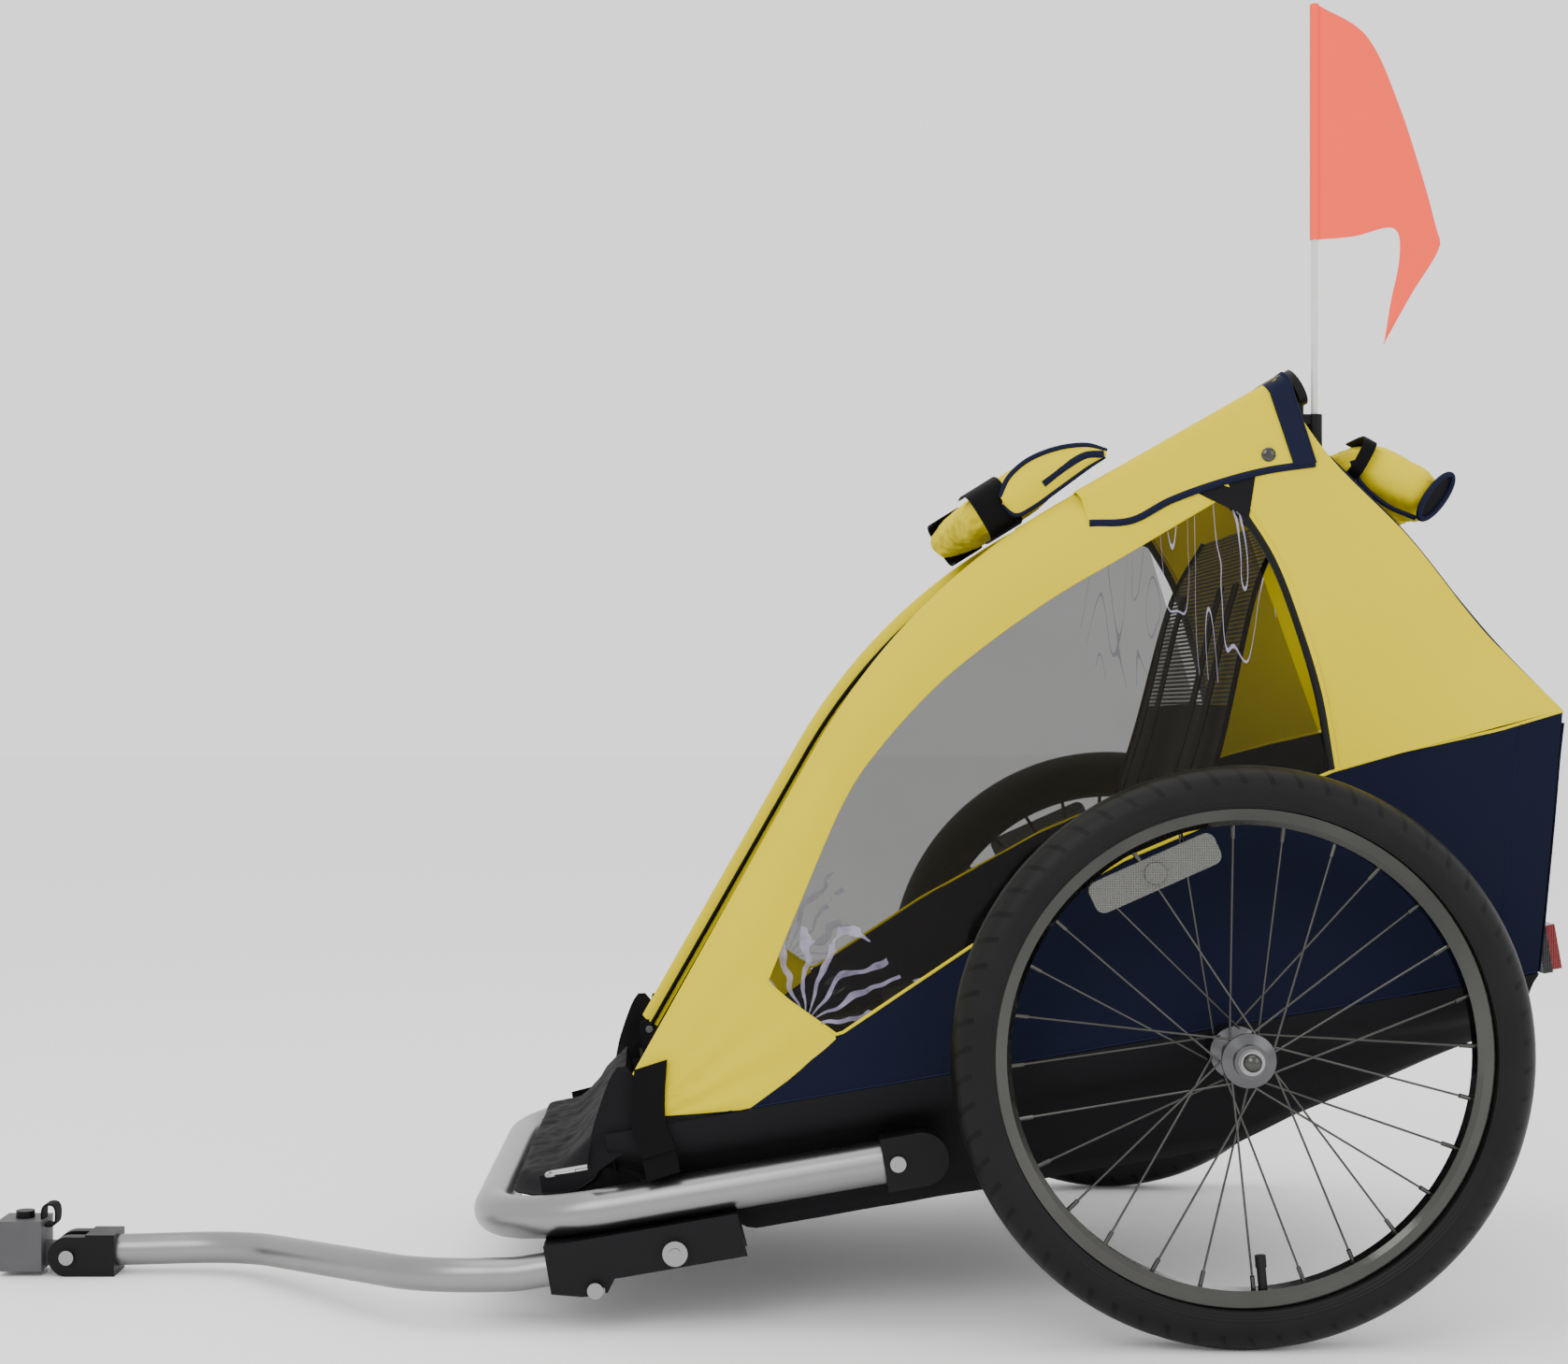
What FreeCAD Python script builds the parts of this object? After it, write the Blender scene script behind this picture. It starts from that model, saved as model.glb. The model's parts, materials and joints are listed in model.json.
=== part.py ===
import FreeCAD, Part
import math
import os

# Child bicycle trailer: a folding two-seat cabin on two wheels, towed by a bar on its left side.
# Millimetres. X points rearward, +Y is the trailer's right side, Z is up from the ground.
# The body is drawn level, with the wheel axis at its origin, and is then pitched nose-down
# about that axis. The left side (negative Y) is drawn, and the right side is its mirror image.

# Overall
PITCH = 9.8                     # nose-down angle of the body, in degrees
WHEEL_RADIUS = 249.0
TRACK = 740.0
HITCH_REACH = 1141.0            # wheel axis to the tip of the hitch
TAIL_REACH = 311.0              # wheel axis to the back of the fabric
AXLE_X = (HITCH_REACH - TAIL_REACH) / 2
RUNNING_GAP = 0.05              # radial clearance of a turning or sliding fit
FABRIC = 3.0                    # thickness of a fabric panel
CLEAR = 0.3                     # gap between soft parts and their neighbours

# Body
SILL_HALF_WIDTH = 305.0         # half the cabin's width at its sill
ROOF_HALF_WIDTH = 225.0
CABIN_HEIGHT = 586.0            # sill to the top of the hoop
LEAN = math.degrees(math.atan((SILL_HALF_WIDTH - ROOF_HALF_WIDTH) / CABIN_HEIGHT))
SEAM = 16.5                     # height of the seam between the tub and the panels
TUB_DEPTH = 100.0
TUB_HALF_WIDTH = 272.0
TUB_NOSE = -552.0
DECK_FRONT = -645.0
DECK_LEVEL = -22.0
HOOK_BACK = TUB_NOSE - 2.0      # back end of the snap hook that lies on the deck
HOOK_Y = -250.0
TAIL = 281.0                    # back end of the sill

# Frame tubes
RAIL_RADIUS = 12.5
RAIL_WALL = 2.0
RAIL_HEIGHT = 2.0
RAIL_FRONT = -540.0
RAIL_BACK = 262.0
BUMPER_RADIUS = 19.0
BUMPER_Y = 295.0
BUMPER_HEIGHT = -50.0
BUMPER_FRONT = -672.0
BUMPER_BACK = -272.0
BUMPER_BEND = 110.0
CONNECTOR_LENGTH = 57.0
CONNECTOR_HEIGHT = 47.0
CONNECTOR_BACK = -258.0
BOLT_RADIUS = 4.0

# Folding hoops
HINGE_HEIGHT = 34.0
HINGE_PIN_RADIUS = 4.0
HINGE_EAR = 3.0
HINGE_GAP = 2.2                 # between a hoop's foot and each ear, as the hoop leans inward
HOOP_RADIUS = 13.0
HOOP_WALL = 2.0
HOOP_FOOT = -525.0
HOOP_LOWER_ANGLE = 51.0
HOOP_UPPER_ANGLE = 20.0
HOOP_TIP = (168.0, 572.0)
HOOP_BEND = 600.0
HOOP_DEPTH = HOOP_RADIUS + 9.0  # hoop centre to the outer face of the side fabric
RAIL_Y = SILL_HALF_WIDTH - HOOP_RADIUS - 13.0   # the hoops stand on the side rails
REAR_HOOP_RADIUS = 9.0
REAR_HINGE = 190.0
REAR_HOOP_WALL = 1.5
HOOP_PLUG = HOOP_RADIUS - HOOP_WALL
REAR_PLUG = REAR_HOOP_RADIUS - REAR_HOOP_WALL
REAR_BAR = (338.0, 232.0)

# Wheels
TYRE_WIDTH = 47.0
TYRE_HEIGHT = 46.0              # tread to bead
BEAD_RADIUS = WHEEL_RADIUS - TYRE_HEIGHT
RIM_RADIUS = BEAD_RADIUS + 9.0
RIM_INNER = BEAD_RADIUS - 5.0
RIM_WIDTH = 25.0
SPOKES = 28
SPOKE_RADIUS = 1.0
SPOKE_CROSSING = 360.0 / 7      # how far round the hub a spoke is laced, in degrees
FIRST_SPOKE = 92.5
VALVE_ANGLE = -85.0
REFLECTOR_ANGLE = 116.0
REFLECTOR_RADIUS = RIM_INNER - 23.0
HUB_FLANGE = 23.0
HUB_HALF_LENGTH = 38.0
FLANGE_INSET = 12.5             # end of the hub to the middle of a flange
BEARING_WIDTH = 7.0
BEARING_RADIUS = 11.0
AXLE_RADIUS = 6.0
AXLE_HEAD = 10.0
BUTTON_STEM = 3.5
BUTTON_TRAVEL = 2.5

# Tow bar and hitch
TOW_RADIUS = 15.0
TOW_WALL = 2.5
TOW_Y = -(TUB_HALF_WIDTH + TOW_RADIUS + 8.0)    # clear of the tub
TOW_PIVOT = (-508.0, -93.0)
TOW_BOLT_RADIUS = 5.0
LOCK_PIN = (-582.0, -113.0)
LOCK_PIN_RADIUS = 4.5
HITCH_Y = -75.0
HITCH_BOLT = (-1073.0, 19.0)
HITCH_BOLT_RADIUS = 4.0
TONGUE_HALF = 7.0
COUPLING_PIN_X = -1119.0
COUPLING_PIN_RADIUS = 5.0

# Flag
POLE_X = 98.0
POLE_Y = -(SILL_HALF_WIDTH - HOOP_DEPTH * math.cos(math.radians(LEAN))
           - HOOP_TIP[1] * math.sin(math.radians(LEAN)) + 9.2)    # beside the left end cap
POLE_RADIUS = 3.0
POLE_TOP = 1191.0
POLE_FOOT = 765.0
FLAG_FOOT = 974.0

ORIGIN = FreeCAD.Vector(0, 0, 0)
ALONG_X = FreeCAD.Vector(1, 0, 0)
ALONG_Y = FreeCAD.Vector(0, 1, 0)
ALONG_Z = FreeCAD.Vector(0, 0, 1)


# Shapes

def point(x, y, z):
    return FreeCAD.Vector(x, y, z)


def block(low, high):
    """A box between two corners."""
    size = [b - a for a, b in zip(low, high)]
    return Part.makeBox(size[0], size[1], size[2], point(*low))


def rod(start, end, radius):
    """A round bar between two points."""
    run = point(*end) - point(*start)
    return Part.makeCylinder(radius, run.Length, point(*start), run)


def polygon(corners):
    return Part.Face(Part.makePolygon(corners + corners[:1]))


def prism(outline, near, far):
    """An (x, z) outline extruded along Y, from near to far."""
    face = polygon([point(x, near, z) for x, z in outline])
    return face.extrude(point(0, far - near, 0))


def turned(outline):
    """A (radius, y) outline turned about the Y axis."""
    face = polygon([point(radius, y, 0) for radius, y in outline])
    return face.revolve(ORIGIN, ALONG_Y, 360)


def ring(inner, outer, near, far):
    return turned([(inner, near), (outer, near), (outer, far), (inner, far)])


def rounded_path(corners, radius):
    """A wire through the corners, each one rounded by an arc tangent to its two runs."""
    corners = [point(*corner) for corner in corners]
    edges = []
    start = corners[0]
    for before, corner, after in zip(corners, corners[1:], corners[2:]):
        back = (before - corner).normalize()
        ahead = (after - corner).normalize()
        half_angle = back.getAngle(ahead) / 2
        reach = radius / math.tan(half_angle)
        inward = (back + ahead).normalize()
        middle = corner + inward * (radius / math.sin(half_angle) - radius)
        first = corner + back * reach
        last = corner + ahead * reach
        edges.append(Part.LineSegment(start, first).toShape())
        edges.append(Part.Arc(first, middle, last).toShape())
        start = last
    edges.append(Part.LineSegment(start, corners[-1]).toShape())
    return Part.Wire(edges)


def swept(path, radius):
    """A round bar along a wire."""
    first = path.OrderedEdges[0]
    start = path.OrderedVertexes[0].Point
    heading = first.tangentAt(first.FirstParameter)
    circle = Part.Wire([Part.makeCircle(radius, start, heading)])
    return path.makePipeShell([circle], True, True)


def bent_tube(corners, bend, radius, wall):
    path = rounded_path(corners, bend)
    return swept(path, radius).cut(swept(path, radius - wall))


def oval(centre, half_length, half_height, angle, half_width):
    """A bar of oval section along Y, its long axis turned up by an angle."""
    ellipse = Part.Ellipse(ORIGIN, half_length, half_height)
    face = Part.Face(Part.Wire([ellipse.toShape()]))
    face.rotate(ORIGIN, ALONG_X, 90)
    face.rotate(ORIGIN, ALONG_Y, -angle)
    face.translate(point(centre[0], -half_width, centre[1]))
    return face.extrude(point(0, 2 * half_width, 0))


# Places

def mirrored(shape):
    return shape.mirror(ORIGIN, ALONG_Y)


def both_sides(*shapes):
    return list(shapes) + [mirrored(shape) for shape in shapes]


def half_width(height):
    return SILL_HALF_WIDTH - height * math.tan(math.radians(LEAN))


def leaned_height(height):
    """The true height of a point drawn at a height on a leaning side."""
    return height * math.cos(math.radians(LEAN))


def on_left_side(shape):
    """Stand a shape drawn at y = 0 against the cabin's sloping left side, with +Y inward."""
    placed = shape.copy()
    placed.rotate(ORIGIN, ALONG_X, -LEAN)
    placed.translate(point(0, -SILL_HALF_WIDTH, 0))
    return placed


def between_sides(shape, gap):
    """Trim a shape to what lies inside the two sloping sides, less a gap."""
    top = CABIN_HEIGHT + 100
    bottom = -TUB_DEPTH - 100
    section = [
        point(DECK_FRONT, -half_width(bottom) + gap, bottom),
        point(DECK_FRONT, half_width(bottom) - gap, bottom),
        point(DECK_FRONT, half_width(top) - gap, top),
        point(DECK_FRONT, -half_width(top) + gap, top),
    ]
    return shape.common(polygon(section).extrude(point(-2 * DECK_FRONT, 0, 0)))


def pitched(shape):
    """Move a body shape to its place on the pitched trailer."""
    placed = shape.copy()
    placed.rotate(ORIGIN, ALONG_Y, -PITCH)
    placed.translate(point(AXLE_X, 0, WHEEL_RADIUS))
    return placed


def on_ground(shape):
    """Move a shape drawn with Z from the ground and X from the wheel axis to its place."""
    placed = shape.copy()
    placed.translate(point(AXLE_X, 0, 0))
    return placed


def from_axle(x, height):
    """The place of a body point as X from the wheel axis and Z from the ground."""
    turn = math.radians(PITCH)
    along = x * math.cos(turn) - height * math.sin(turn)
    up = x * math.sin(turn) + height * math.cos(turn)
    return along, WHEEL_RADIUS + up


def save(name, *shapes):
    solids = [solid for shape in shapes for solid in shape.Solids]
    whole = solids[0] if len(solids) == 1 else Part.makeCompound(solids)
    whole.exportStep(os.path.join("parts", name + ".step"))


def save_body(name, *shapes):
    save(name, *[pitched(shape) for shape in shapes])


# Frame

def rail():
    start = (RAIL_FRONT, -RAIL_Y, RAIL_HEIGHT)
    end = (RAIL_BACK, -RAIL_Y, RAIL_HEIGHT)
    return start, end


def side_rails():
    start, end = rail()
    tube = rod(start, end, RAIL_RADIUS).cut(rod(start, end, RAIL_RADIUS - RAIL_WALL))
    inner = TUB_HALF_WIDTH - FABRIC - 1
    drop_back = CONNECTOR_BACK + 5
    drop_front = CONNECTOR_BACK - CONNECTOR_LENGTH - 5
    weld = block((drop_front, -RAIL_Y + 7, -12), (drop_back, -inner + 4, -6))
    plate = block((drop_front, -inner, BUMPER_HEIGHT - 20), (drop_back, -inner + 4, -6))
    tube = tube.fuse(plate.fuse(weld).cut(rod(start, end, RAIL_RADIUS - RAIL_WALL)))
    axle_hole = rod((0, -RAIL_Y - 20, 0), (0, -RAIL_Y + 20, 0), AXLE_RADIUS)
    return both_sides(tube.cut(axle_hole).cut(connector_bolt(BOLT_RADIUS)))


def cross_tubes():
    tubes = []
    rails = both_sides(rod(*rail(), RAIL_RADIUS))
    for x in (RAIL_FRONT + 50, RAIL_BACK - 25):
        start = (x, -RAIL_Y, RAIL_HEIGHT)
        end = (x, RAIL_Y, RAIL_HEIGHT)
        tube = rod(start, end, RAIL_RADIUS - 1.5).cut(rod(start, end, RAIL_RADIUS - 3.5))
        tubes.append(tube.cut(rails[0]).cut(rails[1]))
    reach = RAIL_Y - 16
    tubes.append(rod((0, -reach, 0), (0, reach, 0), RAIL_RADIUS).cut(
        rod((0, -reach, 0), (0, reach, 0), RAIL_RADIUS - RAIL_WALL)))
    return tubes


def receiver(radius):
    inner = RAIL_Y - 16
    outer = TRACK / 2 - HUB_HALF_LENGTH - 4
    return rod((0, -outer, 0), (0, -inner, 0), radius)


def wheel_receivers():
    socket = receiver(20).cut(receiver(AXLE_RADIUS)).cut(rod(*rail(), RAIL_RADIUS))
    return both_sides(socket)


def front_bumper():
    corners = [
        (BUMPER_BACK, -BUMPER_Y, BUMPER_HEIGHT),
        (BUMPER_FRONT, -BUMPER_Y, BUMPER_HEIGHT),
        (BUMPER_FRONT, BUMPER_Y, BUMPER_HEIGHT),
        (BUMPER_BACK, BUMPER_Y, BUMPER_HEIGHT),
    ]
    tube = bent_tube(corners, BUMPER_BEND, BUMPER_RADIUS, 2.5)
    return tube.cut(both_sides(connector_bolt(BOLT_RADIUS)))


def connector_bolt(radius):
    x = CONNECTOR_BACK - CONNECTOR_LENGTH + 12
    return rod((x, -BUMPER_Y - 25, BUMPER_HEIGHT), (x, -TUB_HALF_WIDTH + 12, BUMPER_HEIGHT), radius)


def bumper_connectors():
    """Moulded end fittings: a sleeve over each bumper leg, rounded at its back."""
    half = CONNECTOR_HEIGHT / 2
    near = -BUMPER_Y - BUMPER_RADIUS - 3
    far = -TUB_HALF_WIDTH - CLEAR
    front = CONNECTOR_BACK - CONNECTOR_LENGTH
    body = block((front, near, BUMPER_HEIGHT - half), (CONNECTOR_BACK - half, far, BUMPER_HEIGHT + half))
    nose = rod((CONNECTOR_BACK - half, near, BUMPER_HEIGHT), (CONNECTOR_BACK - half, far, BUMPER_HEIGHT), half)
    leg = rod((front - 10, -BUMPER_Y, BUMPER_HEIGHT), (BUMPER_BACK, -BUMPER_Y, BUMPER_HEIGHT), BUMPER_RADIUS)
    return both_sides(body.fuse(nose).cut(leg).cut(connector_bolt(BOLT_RADIUS)))


def connector_bolts():
    x = CONNECTOR_BACK - CONNECTOR_LENGTH + 12
    near = -BUMPER_Y - BUMPER_RADIUS - 3
    head = rod((x, near - 4, BUMPER_HEIGHT), (x, near, BUMPER_HEIGHT), 7)
    shank = rod((x, near, BUMPER_HEIGHT), (x, -TUB_HALF_WIDTH + 10, BUMPER_HEIGHT), BOLT_RADIUS)
    return both_sides(head.fuse(shank))


def hinge_bracket(x, foot_radius):
    """A saddle on the rail with two ears, which hold a hinge pin along Y."""
    reach = foot_radius + HINGE_GAP
    outer = reach + HINGE_EAR
    ears = []
    for side in (-1, 1):
        near, far = sorted((-RAIL_Y + side * reach, -RAIL_Y + side * outer))
        ear = block((x - 11, near, RAIL_HEIGHT), (x + 11, far, HINGE_HEIGHT))
        ears.append(ear.fuse(rod((x, near, HINGE_HEIGHT), (x, far, HINGE_HEIGHT), 11)))
    saddle = block((x - 11, -RAIL_Y - outer, RAIL_HEIGHT), (x + 11, -RAIL_Y + outer, RAIL_RADIUS + 4))
    bracket = saddle.fuse(ears).cut(rod(*rail(), RAIL_RADIUS))
    pin = rod((x, -RAIL_Y - 40, HINGE_HEIGHT), (x, -RAIL_Y + 40, HINGE_HEIGHT), HINGE_PIN_RADIUS)
    return both_sides(bracket.cut(pin))


def hinge_pins():
    pins = []
    for x, foot_radius in ((HOOP_FOOT, HOOP_PLUG), (REAR_HINGE, REAR_PLUG)):
        outer = foot_radius + HINGE_GAP + HINGE_EAR
        pins += both_sides(rod((x, -RAIL_Y - outer, HINGE_HEIGHT), (x, -RAIL_Y + outer, HINGE_HEIGHT),
                               HINGE_PIN_RADIUS))
    return pins


# Tow bracket

def tow_bracket():
    """A channel under the left bumper leg, open below and in front, notched for the lock pin."""
    half = TOW_RADIUS + 4
    top = BUMPER_HEIGHT - BUMPER_RADIUS
    low = LOCK_PIN[1]
    outline = [
        (-621, top),
        (-449, top),
        (-446, low + 6),
        (LOCK_PIN[0] + 18, low + 6),
        (LOCK_PIN[0] + 10, low - 5),
        (LOCK_PIN[0] - 12, low - 5),
        (-621, low + 2),
    ]
    near = prism(outline, TOW_Y - half - 3, TOW_Y - half)
    far = prism(outline, TOW_Y + half, TOW_Y + half + 3)
    roof = block((-621, TOW_Y - half, top - 3), (-449, TOW_Y + half, top))
    channel = roof.fuse([near, far])
    x, z = LOCK_PIN
    pin_hole = rod((x, TOW_Y - 40, z), (x, TOW_Y + 40, z), LOCK_PIN_RADIUS + 0.7)
    notch = block((x - 5.4, TOW_Y - 40, z - 20), (x + 8, TOW_Y + 40, z))
    x, z = TOW_PIVOT
    bolt_hole = rod((x, TOW_Y - 40, z), (x, TOW_Y + 40, z), TOW_BOLT_RADIUS)
    return channel.cut([pin_hole, notch, bolt_hole])


def tow_pivot_bolt():
    x, z = TOW_PIVOT
    half = TOW_RADIUS + 7
    shank = rod((x, TOW_Y - half - 10, z), (x, TOW_Y + half + 8, z), TOW_BOLT_RADIUS)
    nut = rod((x, TOW_Y + half, z), (x, TOW_Y + half + 7, z), 8)
    knob = rod((x, TOW_Y - half - 8, z), (x, TOW_Y - half, z), 11)
    return shank.fuse([nut, knob])


# Soft parts on the frame

def tub_outline(inset):
    """The tub's side outline: a deep footwell in front, and a floor that climbs to the tail."""
    return [
        (TUB_NOSE + inset, SEAM + inset * 10),
        (TUB_NOSE + inset, DECK_LEVEL + inset * 0.6),
        (-440 + inset * 0.4, -TUB_DEPTH + inset),
        (0, -TUB_DEPTH + inset),
        (60, -TUB_DEPTH + 20 + inset),
        (268 - inset, -32 + inset),
        (TAIL - inset, SEAM + inset * 10),
    ]


def tub_section(inset):
    """The tub's cross-section: full width beside the rails, narrower between the bumper legs."""
    wide = SILL_HALF_WIDTH - 2 - inset
    narrow = TUB_HALF_WIDTH - inset
    half = [(wide, 100), (wide, -14 + inset), (narrow, -25 + inset), (narrow, -200)]
    corners = [point(-900, y, z) for y, z in half] + [point(-900, -y, z) for y, z in reversed(half)]
    return polygon(corners).extrude(point(1800, 0, 0))


def floor_tub():
    outer = prism(tub_outline(0), -SILL_HALF_WIDTH, SILL_HALF_WIDTH).common(tub_section(0))
    inner = prism(tub_outline(FABRIC), -SILL_HALF_WIDTH, SILL_HALF_WIDTH).common(tub_section(FABRIC))
    deck = block((DECK_FRONT, -262, DECK_LEVEL - FABRIC), (TUB_NOSE + 2, 262, DECK_LEVEL))
    shell = outer.cut(inner).fuse(deck)
    for hole in both_sides(receiver(20 + CLEAR), connector_bolt(BOLT_RADIUS + CLEAR)):
        shell = shell.cut(hole)
    return shell


def seat_cushion():
    return block((-270, -262, 14), (-75, 262, 40))


def front_strap():
    """A webbing loop round the foot of the left side panel."""
    outline = [(-528, 17), (-501, 17), (-487, 71), (-515, 74)]
    return on_left_side(prism(outline, -CLEAR - 2.5, -CLEAR))


def snap_hook():
    """A sprung hook lying on the deck: an eye, a body and an open hook."""
    z = DECK_LEVEL + 3
    near = HOOK_Y - 7
    far = HOOK_Y + 7
    back = HOOK_BACK - 16
    loop = rounded_path([(back - 17, near, z), (back - 43, near, z), (back - 43, far, z), (back, far, z)], 5)
    stem = rod((back, far, z), (back, near, z), 2.5)
    eye = Part.makeTorus(7, 2, point(back + 9, HOOK_Y, z), ALONG_Z)
    return swept(loop, 2.5).fuse([stem, eye])


def snap_gate():
    """The hook's sprung gate, with a small barrel that it turns on."""
    z = DECK_LEVEL + 3
    back = HOOK_BACK - 16
    pivot = back - 4.6
    bar = rod((back - 16.5, HOOK_Y - 7, z), (pivot, HOOK_Y - 7, z), 1.8)
    return bar.fuse(rod((pivot, HOOK_Y - 7, z - 1.8), (pivot, HOOK_Y - 7, z + 1.8), 1.8))


def harness_buckles():
    body = block((-130, -152, 40.3), (-85, -108, 54))
    recess = rod((-107, -130, 48), (-107, -130, 60), 9 + RUNNING_GAP)
    return both_sides(body.cut(recess))


def buckle_button():
    cap = rod((-107, -130, 51.5), (-107, -130, 56), 9)
    return cap


def reflectors():
    """A red lens on a black base at each back corner, standing on the rear panel."""
    base = block((296.2, -269, 10), (304.7, -243, 54))
    lens = block((304.7, -267, 12), (313.7, -245, 52))
    return both_sides(base, lens)


# Front hoop and what rides on it

def hoop_corner():
    """Where the hoop's lower and upper runs would meet."""
    lower = math.radians(HOOP_LOWER_ANGLE)
    upper = math.radians(HOOP_UPPER_ANGLE)
    dx = HOOP_TIP[0] - HOOP_FOOT
    dz = HOOP_TIP[1] - HINGE_HEIGHT
    spread = math.sin(upper - lower)
    run = (dx * math.sin(upper) - dz * math.cos(upper)) / spread
    return HOOP_FOOT + run * math.cos(lower), HINGE_HEIGHT + run * math.sin(lower)


def along_hoop_top(distance, offset):
    """A point on the hoop's upper run, measured forward from its tip and outward from its centre."""
    upper = math.radians(HOOP_UPPER_ANGLE)
    x = HOOP_TIP[0] - distance * math.cos(upper) - offset * math.sin(upper)
    z = HOOP_TIP[1] - distance * math.sin(upper) + offset * math.cos(upper)
    return x, z


def front_hoop():
    lower = math.radians(HOOP_LOWER_ANGLE)
    heading = (math.cos(lower), math.sin(lower))
    foot = (HOOP_FOOT, HINGE_HEIGHT)
    base = (foot[0] + 16 * heading[0], foot[1] + 16 * heading[1])
    plug_end = (foot[0] + 40 * heading[0], foot[1] + 40 * heading[1])
    corners = [(x, HOOP_DEPTH, z) for x, z in (base, hoop_corner(), HOOP_TIP)]
    tube = bent_tube(corners, HOOP_BEND, HOOP_RADIUS, HOOP_WALL)
    plug = rod((foot[0], HOOP_DEPTH, foot[1]), (plug_end[0], HOOP_DEPTH, plug_end[1]),
               HOOP_PLUG)
    eye = rod((foot[0], HOOP_DEPTH - 10, foot[1]), (foot[0], HOOP_DEPTH + 10, foot[1]), 10)
    leg = on_left_side(tube.fuse([plug, eye]))
    pin = rod((foot[0], -RAIL_Y - 40, foot[1]), (foot[0], -RAIL_Y + 40, foot[1]),
              HINGE_PIN_RADIUS + RUNNING_GAP)
    legs = both_sides(leg.cut(pin))
    x, drawn_height = along_hoop_top(30, 0)
    z = leaned_height(drawn_height)
    half = half_width(z) - HOOP_DEPTH - 6
    crossbar = rod((x, -half, z), (x, half, z), 10)
    return legs[0].fuse([legs[1], crossbar])


def hoop_end_caps():
    """A round flange on a short neck at each tip of the hoop."""
    start, flange, end = [along_hoop_top(-distance, 0) for distance in (0, 9, 17)]
    neck = rod((start[0], HOOP_DEPTH, start[1]), (flange[0], HOOP_DEPTH, flange[1]), HOOP_RADIUS)
    disc = rod((flange[0], HOOP_DEPTH, flange[1]), (end[0], HOOP_DEPTH, end[1]), 18)
    return both_sides(on_left_side(neck.fuse(disc)))


def roof_cover():
    """A fabric cap over the hoop's upper run, with a flap down each side."""
    under = HOOP_RADIUS + 1
    top = [along_hoop_top(*place) for place in (
        (-6, under), (215, under), (215, under + FABRIC), (-6, under + FABRIC))]
    level_top = [(x, leaned_height(z)) for x, z in top]
    sheet = between_sides(prism(level_top, -SILL_HALF_WIDTH, SILL_HALF_WIDTH), -CLEAR - FABRIC / 2)
    edge = [top[3], top[2], (-31, 481), (7, 477), (45, 489), (89, 497), (133, 501), (180, 500)]
    flap = on_left_side(prism(edge, -CLEAR - FABRIC, -CLEAR))
    return sheet.fuse(both_sides(flap))


def front_roll():
    centre = along_hoop_top(283, HOOP_RADIUS + 27)
    return oval(centre, 60, 24, 24, half_width(centre[1]) - 8)


def rear_roll():
    return oval((258, 470), 50, 27, -38, 232)


def flag_holder():
    """A sleeve for the flag pole, clipped to the left end cap."""
    sleeve = rod((POLE_X, POLE_Y, POLE_FOOT - 3), (POLE_X, POLE_Y, 815), 7)
    clip = block((84, POLE_Y - 5, 806), (POLE_X, POLE_Y + 5, 815))
    clip = clip.fuse(block((82, POLE_Y - 5, 806), (87, POLE_Y + 5, 823)))
    bore = rod((POLE_X, POLE_Y, POLE_FOOT), (POLE_X, POLE_Y, 830), POLE_RADIUS + RUNNING_GAP)
    return sleeve.fuse(clip).cut(bore)


def flag_pole():
    return rod((POLE_X, POLE_Y, POLE_FOOT), (POLE_X, POLE_Y, POLE_TOP), POLE_RADIUS)


def flag():
    """A drooping pennant with a hem sleeve round the pole."""
    outline = [
        (POLE_X + 2, FLAG_FOOT),
        (POLE_X + 2, POLE_TOP - 1),
        (147, 1160),
        (178, 1091),
        (208, 989),
        (213, 968),
        (160, 878),
        (170, 985),
    ]
    cloth = prism(outline, POLE_Y - 1.5, POLE_Y + 1.5)
    hem = rod((POLE_X, POLE_Y, FLAG_FOOT), (POLE_X, POLE_Y, POLE_TOP - 1), POLE_RADIUS + 1.5)
    pole = rod((POLE_X, POLE_Y, FLAG_FOOT - 5), (POLE_X, POLE_Y, POLE_TOP + 5), POLE_RADIUS)
    return cloth.fuse(hem).cut(pole)


# Fabric that folds with the hoops

def hoop_outline():
    """The front edge of the side fabric: just outside the hoop, from its foot to its tip."""
    edge = HOOP_RADIUS + 0.5
    lower = math.radians(HOOP_LOWER_ANGLE)
    shift = (-edge * math.sin(lower), edge * math.cos(lower))
    foot = (HOOP_FOOT + 8 * math.cos(lower) + shift[0], HINGE_HEIGHT - 10 + shift[1])
    bend = math.radians(HOOP_LOWER_ANGLE - HOOP_UPPER_ANGLE)
    reach = HOOP_BEND * math.tan(bend / 2)
    corner = hoop_corner()
    centre = (corner[0] - reach * math.cos(lower) + HOOP_BEND * math.sin(lower),
              corner[1] - reach * math.sin(lower) - HOOP_BEND * math.cos(lower))
    points = [foot]
    steps = 8
    for step in range(steps + 1):
        angle = lower + math.pi / 2 - bend * step / steps
        points.append((centre[0] + (HOOP_BEND + edge) * math.cos(angle),
                       centre[1] + (HOOP_BEND + edge) * math.sin(angle)))
    return points + [along_hoop_top(2, edge)]


PANEL_BACK = [(195, 504), (247, 424), (283, 353), (309, 306), (352, 242)]
PANEL_SEAM = [(140, 223), (206, 230), (293, 234), (352, 240)]
WINDOW_TOP = [(-389, 124), (-354, 180), (-295, 270), (-253, 314), (-195, 359), (-137, 392),
              (-71, 423), (-7, 447), (95, 486)]
WINDOW_SILL = [(-389, 124), (-347, 79), (-335, 67), (-204, 125), (-57, 177), (140, 223)]
BOW = [(104, 478), (133, 360), (140, 223)]
PANEL_FOOT = [(-342, 58), (-406, 23), (-424, 18), (-498, 26)]


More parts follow.
